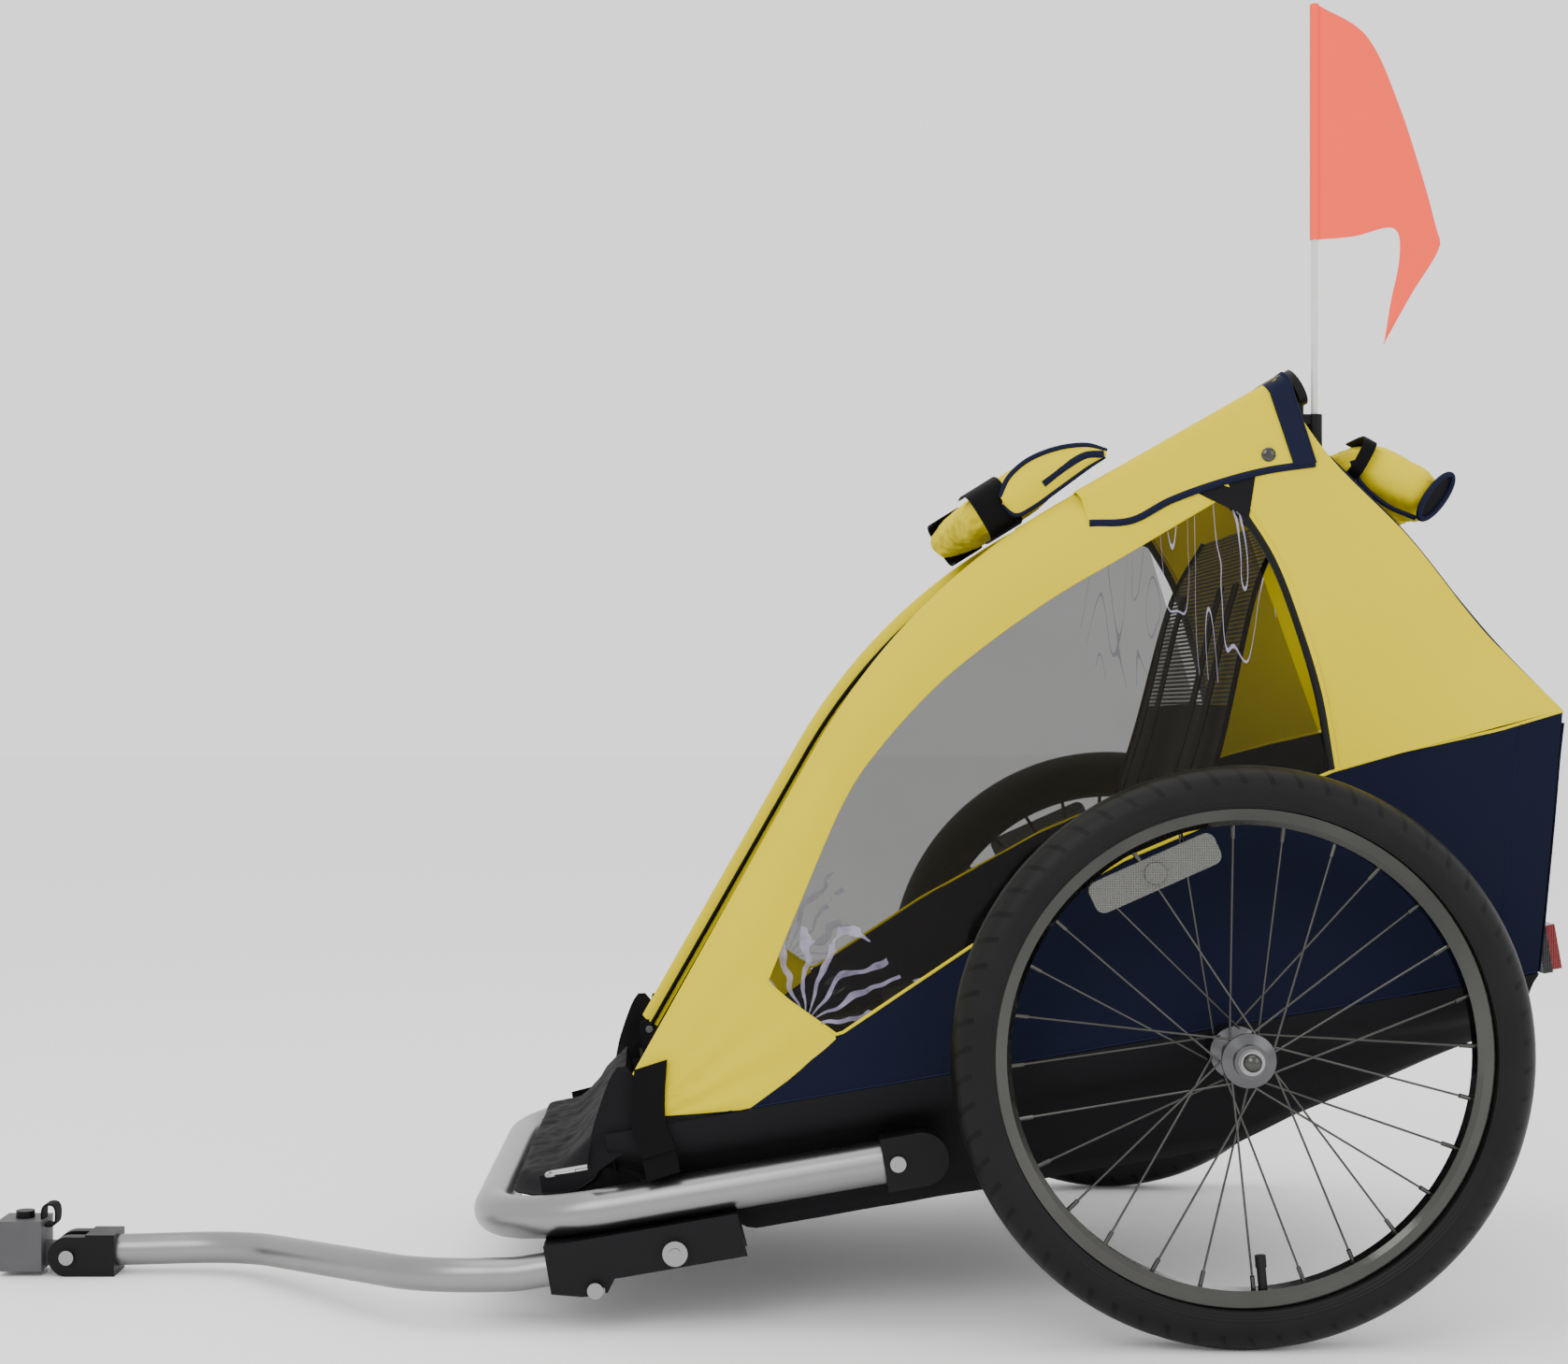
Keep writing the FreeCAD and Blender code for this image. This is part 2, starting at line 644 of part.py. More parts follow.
def side_panels():
    """The yellow fabric of each side: a band along the hoop, and the panel behind the bow."""
    outline = hoop_outline() + PANEL_BACK + PANEL_SEAM[::-1] + BOW[1::-1]
    outline += WINDOW_TOP[::-1] + WINDOW_SILL[1:3] + PANEL_FOOT
    return both_sides(on_left_side(prism(outline, 0, FABRIC)))


def windows():
    """The clear film of each side, set just inside the panel's edge."""
    outline = WINDOW_SILL + BOW[1::-1] + WINDOW_TOP[:0:-1]
    return both_sides(on_left_side(prism(outline, 1, 2)))


def lower_panels():
    outline = WINDOW_SILL[2:] + PANEL_SEAM[1:]
    outline += [(354, 222), (342, 207), (314, 127), (284, 24), (281, 17), (-424, 17), (-406, 22)]
    outline += [(-342, 57)]
    panel = on_left_side(prism(outline, 0, FABRIC))
    return both_sides(panel.cut(receiver(20 + CLEAR)))


def bow_rods():
    """A thin sprung bow in each side, between the window and the back panel."""
    places = [point(x, 8, z) for x, z in BOW]
    path = Part.Wire([Part.Arc(places[0], places[1], places[2]).toShape()])
    return both_sides(on_left_side(swept(path, 3)))


def seat_back():
    """A fabric back between the two sides, leaning rearward over the luggage space."""
    front = [(-62, 48), (51, 263), (110, 395), (158, 458)]
    outline = front + [(x + 8, z - 2) for x, z in reversed(front)]
    return between_sides(prism(outline, -SILL_HALF_WIDTH, SILL_HALF_WIDTH), 36)


def harness_straps():
    """Two shoulder straps for each of the two seats, lying on the seat back."""
    straps = []
    for y in (-165, -95):
        outline = [(-50, 73), (49, 261), (47, 262), (-52, 74)]
        straps.append(prism(outline, y - 12.5, y + 12.5))
    return both_sides(*straps)


def rear_panel():
    outline = [(283, 18), (352, 226), (349, 228), (280, 20)]
    return between_sides(prism(outline, -SILL_HALF_WIDTH, SILL_HALF_WIDTH), FABRIC + 1)


def rear_hoop():
    """The tube that carries the luggage bay's upper edge, hinged on the rails."""
    dx = REAR_BAR[0] - REAR_HINGE
    dz = REAR_BAR[1] - HINGE_HEIGHT
    reach = math.hypot(dx, dz)
    heading = (dx / reach, dz / reach)
    foot_y = -RAIL_Y
    top_y = -half_width(REAR_BAR[1]) + FABRIC + REAR_HOOP_RADIUS + 3
    lean = (top_y - foot_y) / reach
    base = (REAR_HINGE + 13 * heading[0], foot_y + 13 * lean, HINGE_HEIGHT + 13 * heading[1])
    corners = [base, (REAR_BAR[0], top_y, REAR_BAR[1]), (REAR_BAR[0], -top_y, REAR_BAR[1])]
    corners.append((base[0], -base[1], base[2]))
    tube = bent_tube(corners, 30, REAR_HOOP_RADIUS, REAR_HOOP_WALL)
    plugs = []
    for side in (1, -1):
        start = (REAR_HINGE, side * foot_y, HINGE_HEIGHT)
        end = (base[0] + 20 * heading[0], side * (base[1] + 20 * lean), base[2] + 20 * heading[1])
        pin = rod((REAR_HINGE, side * foot_y - 30, HINGE_HEIGHT),
                  (REAR_HINGE, side * foot_y + 30, HINGE_HEIGHT), HINGE_PIN_RADIUS + RUNNING_GAP)
        eye = rod((REAR_HINGE, side * foot_y - REAR_PLUG, HINGE_HEIGHT),
                  (REAR_HINGE, side * foot_y + REAR_PLUG, HINGE_HEIGHT), 8)
        plugs.append(rod(start, end, REAR_PLUG).fuse(eye).cut(pin))
    return tube.fuse(plugs)


# Wheels: each is drawn about the origin with its outer side towards -Y

def tyre():
    """A tyre casing with two beads, open towards the rim."""
    centre = WHEEL_RADIUS - TYRE_WIDTH / 2
    skirt = RIM_RADIUS + 1
    floor = skirt + 3
    casing = Part.makeTorus(centre, TYRE_WIDTH / 2, ORIGIN, ALONG_Y)
    cavity = Part.makeTorus(centre, TYRE_WIDTH / 2 - 3, ORIGIN, ALONG_Y)
    casing = casing.cut(ring(BEAD_RADIUS - 20, skirt, -TYRE_WIDTH, TYRE_WIDTH))
    cavity = cavity.cut(ring(BEAD_RADIUS - 20, floor, -TYRE_WIDTH, TYRE_WIDTH))
    bead_half = RIM_WIDTH / 2 - 3
    beads = ring(BEAD_RADIUS, floor - 1, -bead_half, bead_half)
    throat = ring(BEAD_RADIUS - 1, floor + 4, 3 - bead_half, bead_half - 3)
    return casing.fuse(beads).cut(cavity).cut(throat)


def rim():
    half = RIM_WIDTH / 2
    floor = BEAD_RADIUS - 1.5
    section = turned([
        (RIM_INNER, 4 - half),
        (RIM_INNER, half - 4),
        (floor + 1, half),
        (RIM_RADIUS, half),
        (RIM_RADIUS, half - 2.2),
        (floor, half - 2.2),
        (floor, 2.2 - half),
        (RIM_RADIUS, 2.2 - half),
        (RIM_RADIUS, -half),
        (floor + 1, -half),
    ])
    return section.cut(valve_stem(4.3))


def at_angle(radius, angle, y):
    turn = math.radians(angle)
    return radius * math.cos(turn), y, radius * math.sin(turn)


def valve_stem(radius):
    return rod(at_angle(BEAD_RADIUS + 6, VALVE_ANGLE, 0), at_angle(RIM_INNER - 28, VALVE_ANGLE, 0), radius)


def valve():
    """The inner tube's valve: a patch on the tube, a stem through the rim and a cap."""
    patch = rod(at_angle(BEAD_RADIUS + 8, VALVE_ANGLE, 0), at_angle(BEAD_RADIUS + 4, VALVE_ANGLE, 0), 6)
    cap = rod(at_angle(RIM_INNER - 28, VALVE_ANGLE, 0), at_angle(RIM_INNER - 18, VALVE_ANGLE, 0), 4.8)
    return valve_stem(4).fuse([patch, cap])


def spokes():
    """Half the spokes start at each hub flange, and leading and trailing spokes cross."""
    bars = []
    for index in range(SPOKES):
        rim_angle = FIRST_SPOKE + index * 360 / SPOKES
        side = 1 if index % 2 else -1
        lace = SPOKE_CROSSING if index % 4 < 2 else -SPOKE_CROSSING
        bend = 1.2 if index % 4 < 2 else -1.2
        hub_end = at_angle(HUB_FLANGE - 3, rim_angle + lace, side * (HUB_HALF_LENGTH - FLANGE_INSET) + bend)
        rim_end = at_angle(RIM_INNER + 1, rim_angle, side * 3)
        bar = rod(hub_end, rim_end, SPOKE_RADIUS)
        nipple_end = point(*rim_end) + (point(*hub_end) - point(*rim_end)).normalize() * 13
        nipple = rod(rim_end, (nipple_end.x, nipple_end.y, nipple_end.z), 2)
        bars.append(bar.fuse(nipple))
    return bars


def hub():
    end = HUB_HALF_LENGTH
    seat = end - BEARING_WIDTH
    return turned([
        (AXLE_RADIUS + 0.6, -seat),
        (AXLE_RADIUS + 0.6, seat),
        (BEARING_RADIUS, seat),
        (BEARING_RADIUS, end),
        (BEARING_RADIUS + 3.5, end),
        (BEARING_RADIUS + 3.5, end - 8),
        (HUB_FLANGE, end - FLANGE_INSET + 1.5),
        (HUB_FLANGE, end - FLANGE_INSET - 1.5),
        (BEARING_RADIUS + 3, end - 17),
        (BEARING_RADIUS + 3, 17 - end),
        (HUB_FLANGE, FLANGE_INSET + 1.5 - end),
        (HUB_FLANGE, FLANGE_INSET - 1.5 - end),
        (BEARING_RADIUS + 3.5, 8 - end),
        (BEARING_RADIUS + 3.5, -end),
        (BEARING_RADIUS, -end),
        (BEARING_RADIUS, -seat),
    ])


def bearings():
    seat = HUB_HALF_LENGTH - BEARING_WIDTH
    inner = AXLE_RADIUS + RUNNING_GAP
    return [ring(inner, BEARING_RADIUS, -HUB_HALF_LENGTH, -seat),
            ring(inner, BEARING_RADIUS, seat, HUB_HALF_LENGTH)]


def spoke_reflector():
    """A clear bar reflector on the outer spokes, with a round boss in its middle."""
    y = -13.0
    bar = block((-58, y, -14), (58, y + 5, 14))
    corner_edges = [edge for edge in bar.Edges if abs(edge.tangentAt(edge.FirstParameter).y) > 0.9]
    bar = bar.makeFillet(8, corner_edges)
    boss = rod((0, y - 2, 0), (0, y + 5, 0), 9)
    clip = block((-6, y + 5, -5), (6, y + 8, 5))
    whole = bar.fuse([boss, clip])
    whole.rotate(ORIGIN, ALONG_Y, -24)
    whole.translate(point(*at_angle(REFLECTOR_RADIUS, REFLECTOR_ANGLE, 0)))
    return whole


def axle():
    """A fixed stub axle with a head, bored for the release button's stem."""
    inner = TRACK / 2 - RAIL_Y + 22
    head = HUB_HALF_LENGTH + 0.4
    stub = rod((0, -head, 0), (0, inner, 0), AXLE_RADIUS)
    collar = rod((0, -head - 2, 0), (0, -head, 0), AXLE_HEAD)
    bore = rod((0, -head - 5, 0), (0, -head + 25, 0), BUTTON_STEM + RUNNING_GAP)
    return stub.fuse(collar).cut(bore)


def release_button():
    head = HUB_HALF_LENGTH + 2.4 + BUTTON_TRAVEL + 0.3
    stem = rod((0, -head, 0), (0, -head + 20, 0), BUTTON_STEM)
    dome = Part.makeSphere(9, point(0, -head + 5, 0)).common(block((-9, -head - 4, -9), (9, -head, 9)))
    return stem.fuse(dome)


def wheel_place(shape):
    placed = shape.copy()
    placed.translate(point(AXLE_X, -TRACK / 2, WHEEL_RADIUS))
    return placed


def save_wheels():
    pieces = {
        "tyre": [tyre()],
        "rim": [rim()],
        "spokes": spokes(),
        "hub": [hub()],
        "bearings": bearings(),
        "valve": [valve()],
        "spoke_reflector": [spoke_reflector()],
        "release_button": [release_button()],
    }
    for name, shapes in pieces.items():
        left = [wheel_place(shape) for shape in shapes]
        save("left_" + name, *left)
        save("right_" + name, *[mirrored(shape) for shape in left])
    save("wheel_axles", *both_sides(wheel_place(axle())))


# Tow bar and hitch

def tow_front_run():
    """The straight front run of the tow bar, from its last bend to its end in the clevis."""
    bolt_x, bolt_z = HITCH_BOLT
    return [(-905, HITCH_Y, 25), (bolt_x + 20, HITCH_Y, bolt_z + 2)]


def tow_bar():
    """A bar that runs forward from its pivot, bends in to the hitch line, and rests near the ground."""
    x, height = TOW_PIVOT
    tail = from_axle(x + 10, height)
    mouth = from_axle(x - 142, height)
    corners = [(tail[0], TOW_Y, tail[1]), (mouth[0], TOW_Y, mouth[1]), (-705, TOW_Y, 45)]
    corners += tow_front_run()
    bar = bent_tube(corners, 120, TOW_RADIUS, TOW_WALL)
    pivot = from_axle(*TOW_PIVOT)
    half = TOW_RADIUS + 3.6
    sleeve = rod((pivot[0], TOW_Y - half, pivot[1]), (pivot[0], TOW_Y + half, pivot[1]), 8)
    bore = rod((pivot[0], TOW_Y - half, pivot[1]), (pivot[0], TOW_Y + half, pivot[1]),
               TOW_BOLT_RADIUS + RUNNING_GAP)
    lug_x, lug_z = LOCK_PIN
    lug = on_ground_pitch(block((lug_x - 8, TOW_Y - 10, lug_z - 7), (lug_x + 8, TOW_Y + 10, lug_z + 9)))
    core = on_ground_pitch(rod((x + 20, TOW_Y, height), (x - 200, TOW_Y, height), TOW_RADIUS - TOW_WALL))
    pin = on_ground_pitch(rod((lug_x, TOW_Y - 30, lug_z), (lug_x, TOW_Y + 30, lug_z),
                              LOCK_PIN_RADIUS + RUNNING_GAP))
    return bar.fuse([sleeve, lug.cut(core)]).cut(bore).cut(pin)


def on_ground_pitch(shape):
    """Pitch a body shape, leaving X measured from the wheel axis."""
    placed = shape.copy()
    placed.rotate(ORIGIN, ALONG_Y, -PITCH)
    placed.translate(point(0, 0, WHEEL_RADIUS))
    return placed


def tow_lock_pin():
    x, z = LOCK_PIN
    pin = rod((x, TOW_Y - 26, z), (x, TOW_Y + 24, z), LOCK_PIN_RADIUS)
    head = rod((x, TOW_Y - 30, z), (x, TOW_Y - 26, z), 7)
    return pin.fuse(head)


def hitch_clevis():
    """A moulded fork on the front end of the tow bar, which rests on the ground when parked."""
    x, z = HITCH_BOLT
    body = block((x + 17, HITCH_Y - 22, 0), (x + 45, HITCH_Y + 22, 40))
    ears = []
    for near in (HITCH_Y - 22, HITCH_Y + TONGUE_HALF + 1.4):
        far = near + 22 - TONGUE_HALF - 1.4
        ear = rod((x, near, z), (x, far, z), z)
        ears.append(ear.fuse(block((x, near, 0), (x + 20, far, 2 * z))))
    bar = rod(*tow_front_run(), TOW_RADIUS)
    bolt = rod((x, HITCH_Y - 30, z), (x, HITCH_Y + 30, z), HITCH_BOLT_RADIUS)
    return body.fuse(ears).cut(bar).cut(bolt)


def clevis_bolt():
    x, z = HITCH_BOLT
    shank = rod((x, HITCH_Y - 27, z), (x, HITCH_Y + 29, z), HITCH_BOLT_RADIUS)
    head = rod((x, HITCH_Y - 27, z), (x, HITCH_Y - 22, z), 7)
    nut = rod((x, HITCH_Y + 22, z), (x, HITCH_Y + 28, z), 7.5)
    return shank.fuse([head, nut])


def coupling_housing():
    """A square socket for the bicycle's hitch arm, with a tongue held in the clevis."""
    x, z = HITCH_BOLT
    front = -HITCH_REACH
    back = x - 25
    socket = block((front, HITCH_Y - 22, z - 14), (back, HITCH_Y + 22, z + 34))
    hollow = block((front - 1, HITCH_Y - 15, z - 5), (back - 6, HITCH_Y + 15, z + 25))
    tongue = block((back - 2, HITCH_Y - TONGUE_HALF, z - 11), (x, HITCH_Y + TONGUE_HALF, z + 11))
    eye = rod((x, HITCH_Y - TONGUE_HALF, z), (x, HITCH_Y + TONGUE_HALF, z), 14)
    bolt = rod((x, HITCH_Y - 30, z), (x, HITCH_Y + 30, z), HITCH_BOLT_RADIUS + RUNNING_GAP)
    pin = rod((COUPLING_PIN_X, HITCH_Y, -10), (COUPLING_PIN_X, HITCH_Y, 100),
              COUPLING_PIN_RADIUS + RUNNING_GAP)
    return socket.cut(hollow).fuse([tongue, eye]).cut(bolt).cut(pin)


def coupling_pin():
    z = HITCH_BOLT[1]
    pin = rod((COUPLING_PIN_X, HITCH_Y, z - 13), (COUPLING_PIN_X, HITCH_Y, z + 36), COUPLING_PIN_RADIUS)
    knob = rod((COUPLING_PIN_X, HITCH_Y, z + 34.2), (COUPLING_PIN_X, HITCH_Y, z + 41), 9)
    return pin.fuse(knob)


def safety_strap():
    """A webbing loop sewn to the back of the coupling, which goes round the bicycle's frame."""
    x = HITCH_BOLT[0] - 25
    z = HITCH_BOLT[1] + 34
    outline = [(x - 4, z + 0.3), (x - 4, z + 12), (x + 4, z + 15), (x + 12, z + 6), (x + 12, z - 8),
               (x + 9.5, z - 8), (x + 9.5, z + 5), (x + 3, z + 12), (x - 1.5, z + 10), (x - 1.5, z + 0.3)]
    return prism(outline, HITCH_Y - 10, HITCH_Y + 10)


def save_frame():
    save_body("side_rails", *side_rails())
    save_body("cross_tubes", *cross_tubes())
    save_body("wheel_receivers", *wheel_receivers())
    save_body("front_bumper", front_bumper())
    save_body("bumper_connectors", *bumper_connectors())
    save_body("connector_bolts", *connector_bolts())
    save_body("hoop_hinge_brackets", *hinge_bracket(HOOP_FOOT, HOOP_PLUG))
    save_body("rear_hinge_brackets", *hinge_bracket(REAR_HINGE, REAR_PLUG))
    save_body("hinge_pins", *hinge_pins())
    save_body("tow_bracket", tow_bracket())
    save_body("tow_pivot_bolt", tow_pivot_bolt())
    save_body("floor_tub", floor_tub())
    save_body("seat_cushion", seat_cushion())
    save_body("front_strap", front_strap())
    save_body("snap_hook", snap_hook())
    save_body("snap_gate", snap_gate())
    save_body("harness_buckles", *harness_buckles())
    save_body("left_buckle_button", buckle_button())
    save_body("right_buckle_button", mirrored(buckle_button()))
    save_body("rear_reflectors", *reflectors())


def save_cabin():
    save_body("front_hoop", front_hoop())
    save_body("hoop_end_caps", *hoop_end_caps())
    save_body("roof_cover", roof_cover())
    save_body("front_roll", front_roll())
    save_body("rear_roll", rear_roll())
    save_body("side_panels", *side_panels())
    save_body("windows", *windows())
    save_body("lower_panels", *lower_panels())
    save_body("bow_rods", *bow_rods())
    save_body("seat_back", seat_back())
    save_body("harness_straps", *harness_straps())
    save_body("rear_panel", rear_panel())
    save_body("rear_hoop", rear_hoop())
    save("flag_holder", on_ground(flag_holder()))
    save("flag_pole", on_ground(flag_pole()))
    save("flag", on_ground(flag()))


def save_tow():
    save("tow_bar", on_ground(tow_bar()))
    save_body("tow_lock_pin", tow_lock_pin())
    save("hitch_clevis", on_ground(hitch_clevis()))
    save("clevis_bolt", on_ground(clevis_bolt()))
    save("coupling_housing", on_ground(coupling_housing()))
    save("coupling_pin", on_ground(coupling_pin()))
    save("safety_strap", on_ground(safety_strap()))


os.makedirs("parts", exist_ok=True)
save_frame()
save_cabin()
save_wheels()
save_tow()
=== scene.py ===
"""The looks of a child bicycle trailer: its fabrics, film, tyres, straps and flag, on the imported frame."""
import json
import math

import bmesh
import bpy
import numpy as np
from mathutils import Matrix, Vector, noise


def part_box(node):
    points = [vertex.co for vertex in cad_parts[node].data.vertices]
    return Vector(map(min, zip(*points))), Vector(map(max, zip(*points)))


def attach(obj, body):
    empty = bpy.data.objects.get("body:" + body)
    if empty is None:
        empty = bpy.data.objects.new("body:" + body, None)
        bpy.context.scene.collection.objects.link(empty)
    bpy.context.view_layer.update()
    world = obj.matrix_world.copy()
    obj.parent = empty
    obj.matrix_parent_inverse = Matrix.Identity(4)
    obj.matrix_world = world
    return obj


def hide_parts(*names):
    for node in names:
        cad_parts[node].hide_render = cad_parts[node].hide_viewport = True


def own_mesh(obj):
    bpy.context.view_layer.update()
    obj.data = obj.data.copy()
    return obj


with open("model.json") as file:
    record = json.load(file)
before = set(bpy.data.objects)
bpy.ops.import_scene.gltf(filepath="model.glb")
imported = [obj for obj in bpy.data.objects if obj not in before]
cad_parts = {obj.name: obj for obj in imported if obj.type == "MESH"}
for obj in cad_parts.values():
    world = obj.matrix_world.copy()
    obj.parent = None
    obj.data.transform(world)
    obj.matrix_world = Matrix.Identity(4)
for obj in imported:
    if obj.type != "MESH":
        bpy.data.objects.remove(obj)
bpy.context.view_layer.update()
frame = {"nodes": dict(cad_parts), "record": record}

# Places are drawn in millimetres on the level body, whose origin is the wheel axis, and
# body_point() pitches them nose-down into the trailer's frame, in metres.
MM = 0.001
PITCH = math.radians(9.8)
HUB_LOW, HUB_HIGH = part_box("left_hub")
AXLE = Vector(((HUB_LOW.x + HUB_HIGH.x) / 2, 0, (HUB_LOW.z + HUB_HIGH.z) / 2))
TRACK = -(HUB_LOW.y + HUB_HIGH.y) / MM
SILL_HALF_WIDTH = 305
TOP_HALF_WIDTH = 225
CABIN_HEIGHT = 586
LEAN = math.atan((SILL_HALF_WIDTH - TOP_HALF_WIDTH) / CABIN_HEIGHT)
HOOP_RADIUS = 13
HOOP_DEPTH = 22
HOOP_FOOT = (-525, 34)
HOOP_TIP = (168, 572)
HOOP_LOWER_ANGLE = math.radians(51)
HOOP_UPPER_ANGLE = math.radians(20)
HOOP_BEND = 600
PANEL_BACK = [(161, 584), (195, 504), (247, 424), (283, 353), (309, 306), (352, 242)]
PANEL_SEAM = [(140, 223), (206, 230), (293, 234), (352, 241)]
WINDOW_TOP = [(-389, 124), (-354, 180), (-295, 270), (-253, 314), (-195, 359), (-137, 392),
              (-71, 423), (-7, 447), (95, 486)]
WINDOW_SILL = [(-335, 67), (-204, 125), (-57, 177), (140, 223)]
BOW = [(104, 478), (126, 420), (137, 355), (142, 290), (140, 223)]
UP = Vector((-math.sin(PITCH), 0, math.cos(PITCH)))
WEB_ROW = (-1, -0.5, 0, 0.5, 1)     # places across a strip of webbing


def body_point(x, y, z):
    """A point of the level body, in millimetres, as its place on the pitched trailer."""
    along = x * math.cos(PITCH) - z * math.sin(PITCH)
    up = x * math.sin(PITCH) + z * math.cos(PITCH)
    return AXLE + Vector((along, y, up)) * MM


def side_point(x, z, depth, side):
    """A point on the leaning side of the cabin, a depth in from its outer face; side is -1 or 1."""
    across = SILL_HALF_WIDTH - z * math.sin(LEAN) - depth * math.cos(LEAN)
    height = z * math.cos(LEAN) - depth * math.sin(LEAN)
    return body_point(x, side * across, height)


# Shader nodes

class Value:
    """A shader socket: arithmetic on it adds Math nodes."""

    def __init__(self, finish, socket):
        self.finish = finish
        self.socket = socket

    def maths(self, operation, first, second):
        return self.finish.node("ShaderNodeMath", {"operation": operation}, {0: first, 1: second})

    def __add__(self, other):
        return self.maths("ADD", self, other)

    def __sub__(self, other):
        return self.maths("SUBTRACT", self, other)

    def __rsub__(self, other):
        return self.maths("SUBTRACT", other, self)

    def __mul__(self, other):
        return self.maths("MULTIPLY", self, other)

    def __gt__(self, other):
        return self.maths("GREATER_THAN", self, other)

    def __lt__(self, other):
        return self.maths("LESS_THAN", self, other)

    __radd__ = __add__
    __rmul__ = __mul__


class Finish:
    """A material in the making: a Principled shader and the nodes that feed it."""

    def __init__(self, name, constants):
        self.material = bpy.data.materials.new(name)
        self.material.use_nodes = True
        self.tree = self.material.node_tree
        self.shader = self.tree.nodes["Principled BSDF"]
        for socket, value in constants.items():
            self.shader.inputs[socket].default_value = value

    def node(self, kind, settings, values, output=0):
        made = self.tree.nodes.new(kind)
        for name, value in settings.items():
            setattr(made, name, value)
        for name, value in values.items():
            self.put(made.inputs[name], value)
        return Value(self, made.outputs[output])

    def put(self, socket, value):
        if isinstance(value, Value):
            self.tree.links.new(value.socket, socket)
        else:
            socket.default_value = value

    def feed(self, socket, value):
        self.put(self.shader.inputs[socket], value)

    def place(self):
        return self.node("ShaderNodeTexCoord", {}, {}, "Object")

    def axes(self):
        place = self.place()
        return [self.node("ShaderNodeSeparateXYZ", {}, {0: place}, axis) for axis in "XYZ"]

    def noise(self, scale, detail=3.0, stretch=(1, 1, 1)):
        place = self.node("ShaderNodeMapping", {}, {"Vector": self.place(), "Scale": stretch})
        return self.node("ShaderNodeTexNoise", {}, {"Vector": place, "Scale": scale, "Detail": detail})

    def sine(self, value):
        return self.node("ShaderNodeMath", {"operation": "SINE"}, {0: value})

    def root(self, value):
        return self.node("ShaderNodeMath", {"operation": "SQRT"}, {0: value})

    def size(self, value):
        return self.node("ShaderNodeMath", {"operation": "ABSOLUTE"}, {0: value})

    def turn(self, along, up):
        return self.node("ShaderNodeMath", {"operation": "ARCTAN2"}, {0: up, 1: along})

    def mix(self, factor, first, second):
        return self.node("ShaderNodeMix", {"data_type": "RGBA"}, {0: factor, 6: first, 7: second}, 2)

    def bump(self, height, strength, distance):
        values = {"Height": height, "Strength": strength, "Distance": distance}
        self.feed("Normal", self.node("ShaderNodeBump", {}, values))


def shade(colour, factor):
    """The colour made darker or lighter, with its alpha."""
    return (colour[0] * factor, colour[1] * factor, colour[2] * factor, 1)


# Finishes

def woven(name, colour, thread=1.1, shine=0.12, rough=0.75, variation=0.16, depth=0.35):
    """Coated woven cloth: crossing threads, soft creases with painted shade darkening their hollows, and
    uneven dye.
    """
    made = Finish(name, {"Roughness": rough, "Specular IOR Level": shine})
    x, y, z = made.axes()
    pitch = 2 * math.pi / (thread * MM)
    warp = made.sine((x + y * 0.7) * pitch)
    weft = made.sine((z + y * 0.7) * pitch)
    threads = warp * weft
    creases = made.noise(9, 4)
    blotches = made.noise(2.5, 2)
    # Colour: painted shade, darker where the crease bumps sink, mixed with uneven dye from the blotches.
    crease_shade_and_dye = creases * 0.6 + blotches * 0.4
    made.feed("Base Color", made.mix(crease_shade_and_dye, shade(colour, 1 - variation), shade(colour, 1 + variation)))
    made.feed("Roughness", creases * 0.2 + (rough - 0.1))
    made.bump(threads * 0.12 + creases * 2.5, depth, 0.0009)
    return made.material


def metal(name, colour, rough, streak=(1, 1, 1), variation=0.12):
    """Bare or plated metal, with fine drawing marks."""
    made = Finish(name, {"Metallic": 1.0})
    marks = made.noise(400, 2, streak)
    cloud = made.noise(12, 3)
    made.feed("Base Color", made.mix(cloud, shade(colour, 1 - variation), shade(colour, 1.0)))
    made.feed("Roughness", marks * 0.12 + cloud * 0.08 + (rough - 0.1))
    made.bump(marks, 0.08, 0.0003)
    return made.material


def moulded(name, colour, rough=0.45, grain=900, depth=0.12, coat=0.0):
    """Moulded plastic or powder coat, with a fine grain and lighter handling marks."""
    made = Finish(name, {"Specular IOR Level": 0.14, "Coat Weight": coat, "Coat Roughness": 0.15})
    fine = made.noise(grain, 2)
    scuffs = made.noise(30, 5)
    made.feed("Base Color", made.mix(scuffs, shade(colour, 0.85), shade(colour, 1.25)))
    made.feed("Roughness", scuffs * 0.2 + (rough - 0.1))
    made.bump(fine, depth, 0.0004)
    return made.material


def rubber(name):
    """Dusty black rubber."""
    made = Finish(name, {"Specular IOR Level": 0.2})
    dust = made.noise(18, 6)
    made.feed("Base Color", made.mix(dust, (0.004, 0.004, 0.0045, 1), (0.013, 0.013, 0.013, 1)))
    made.feed("Roughness", dust * 0.25 + 0.4)
    made.bump(made.noise(700, 2), 0.15, 0.0005)
    return made.material


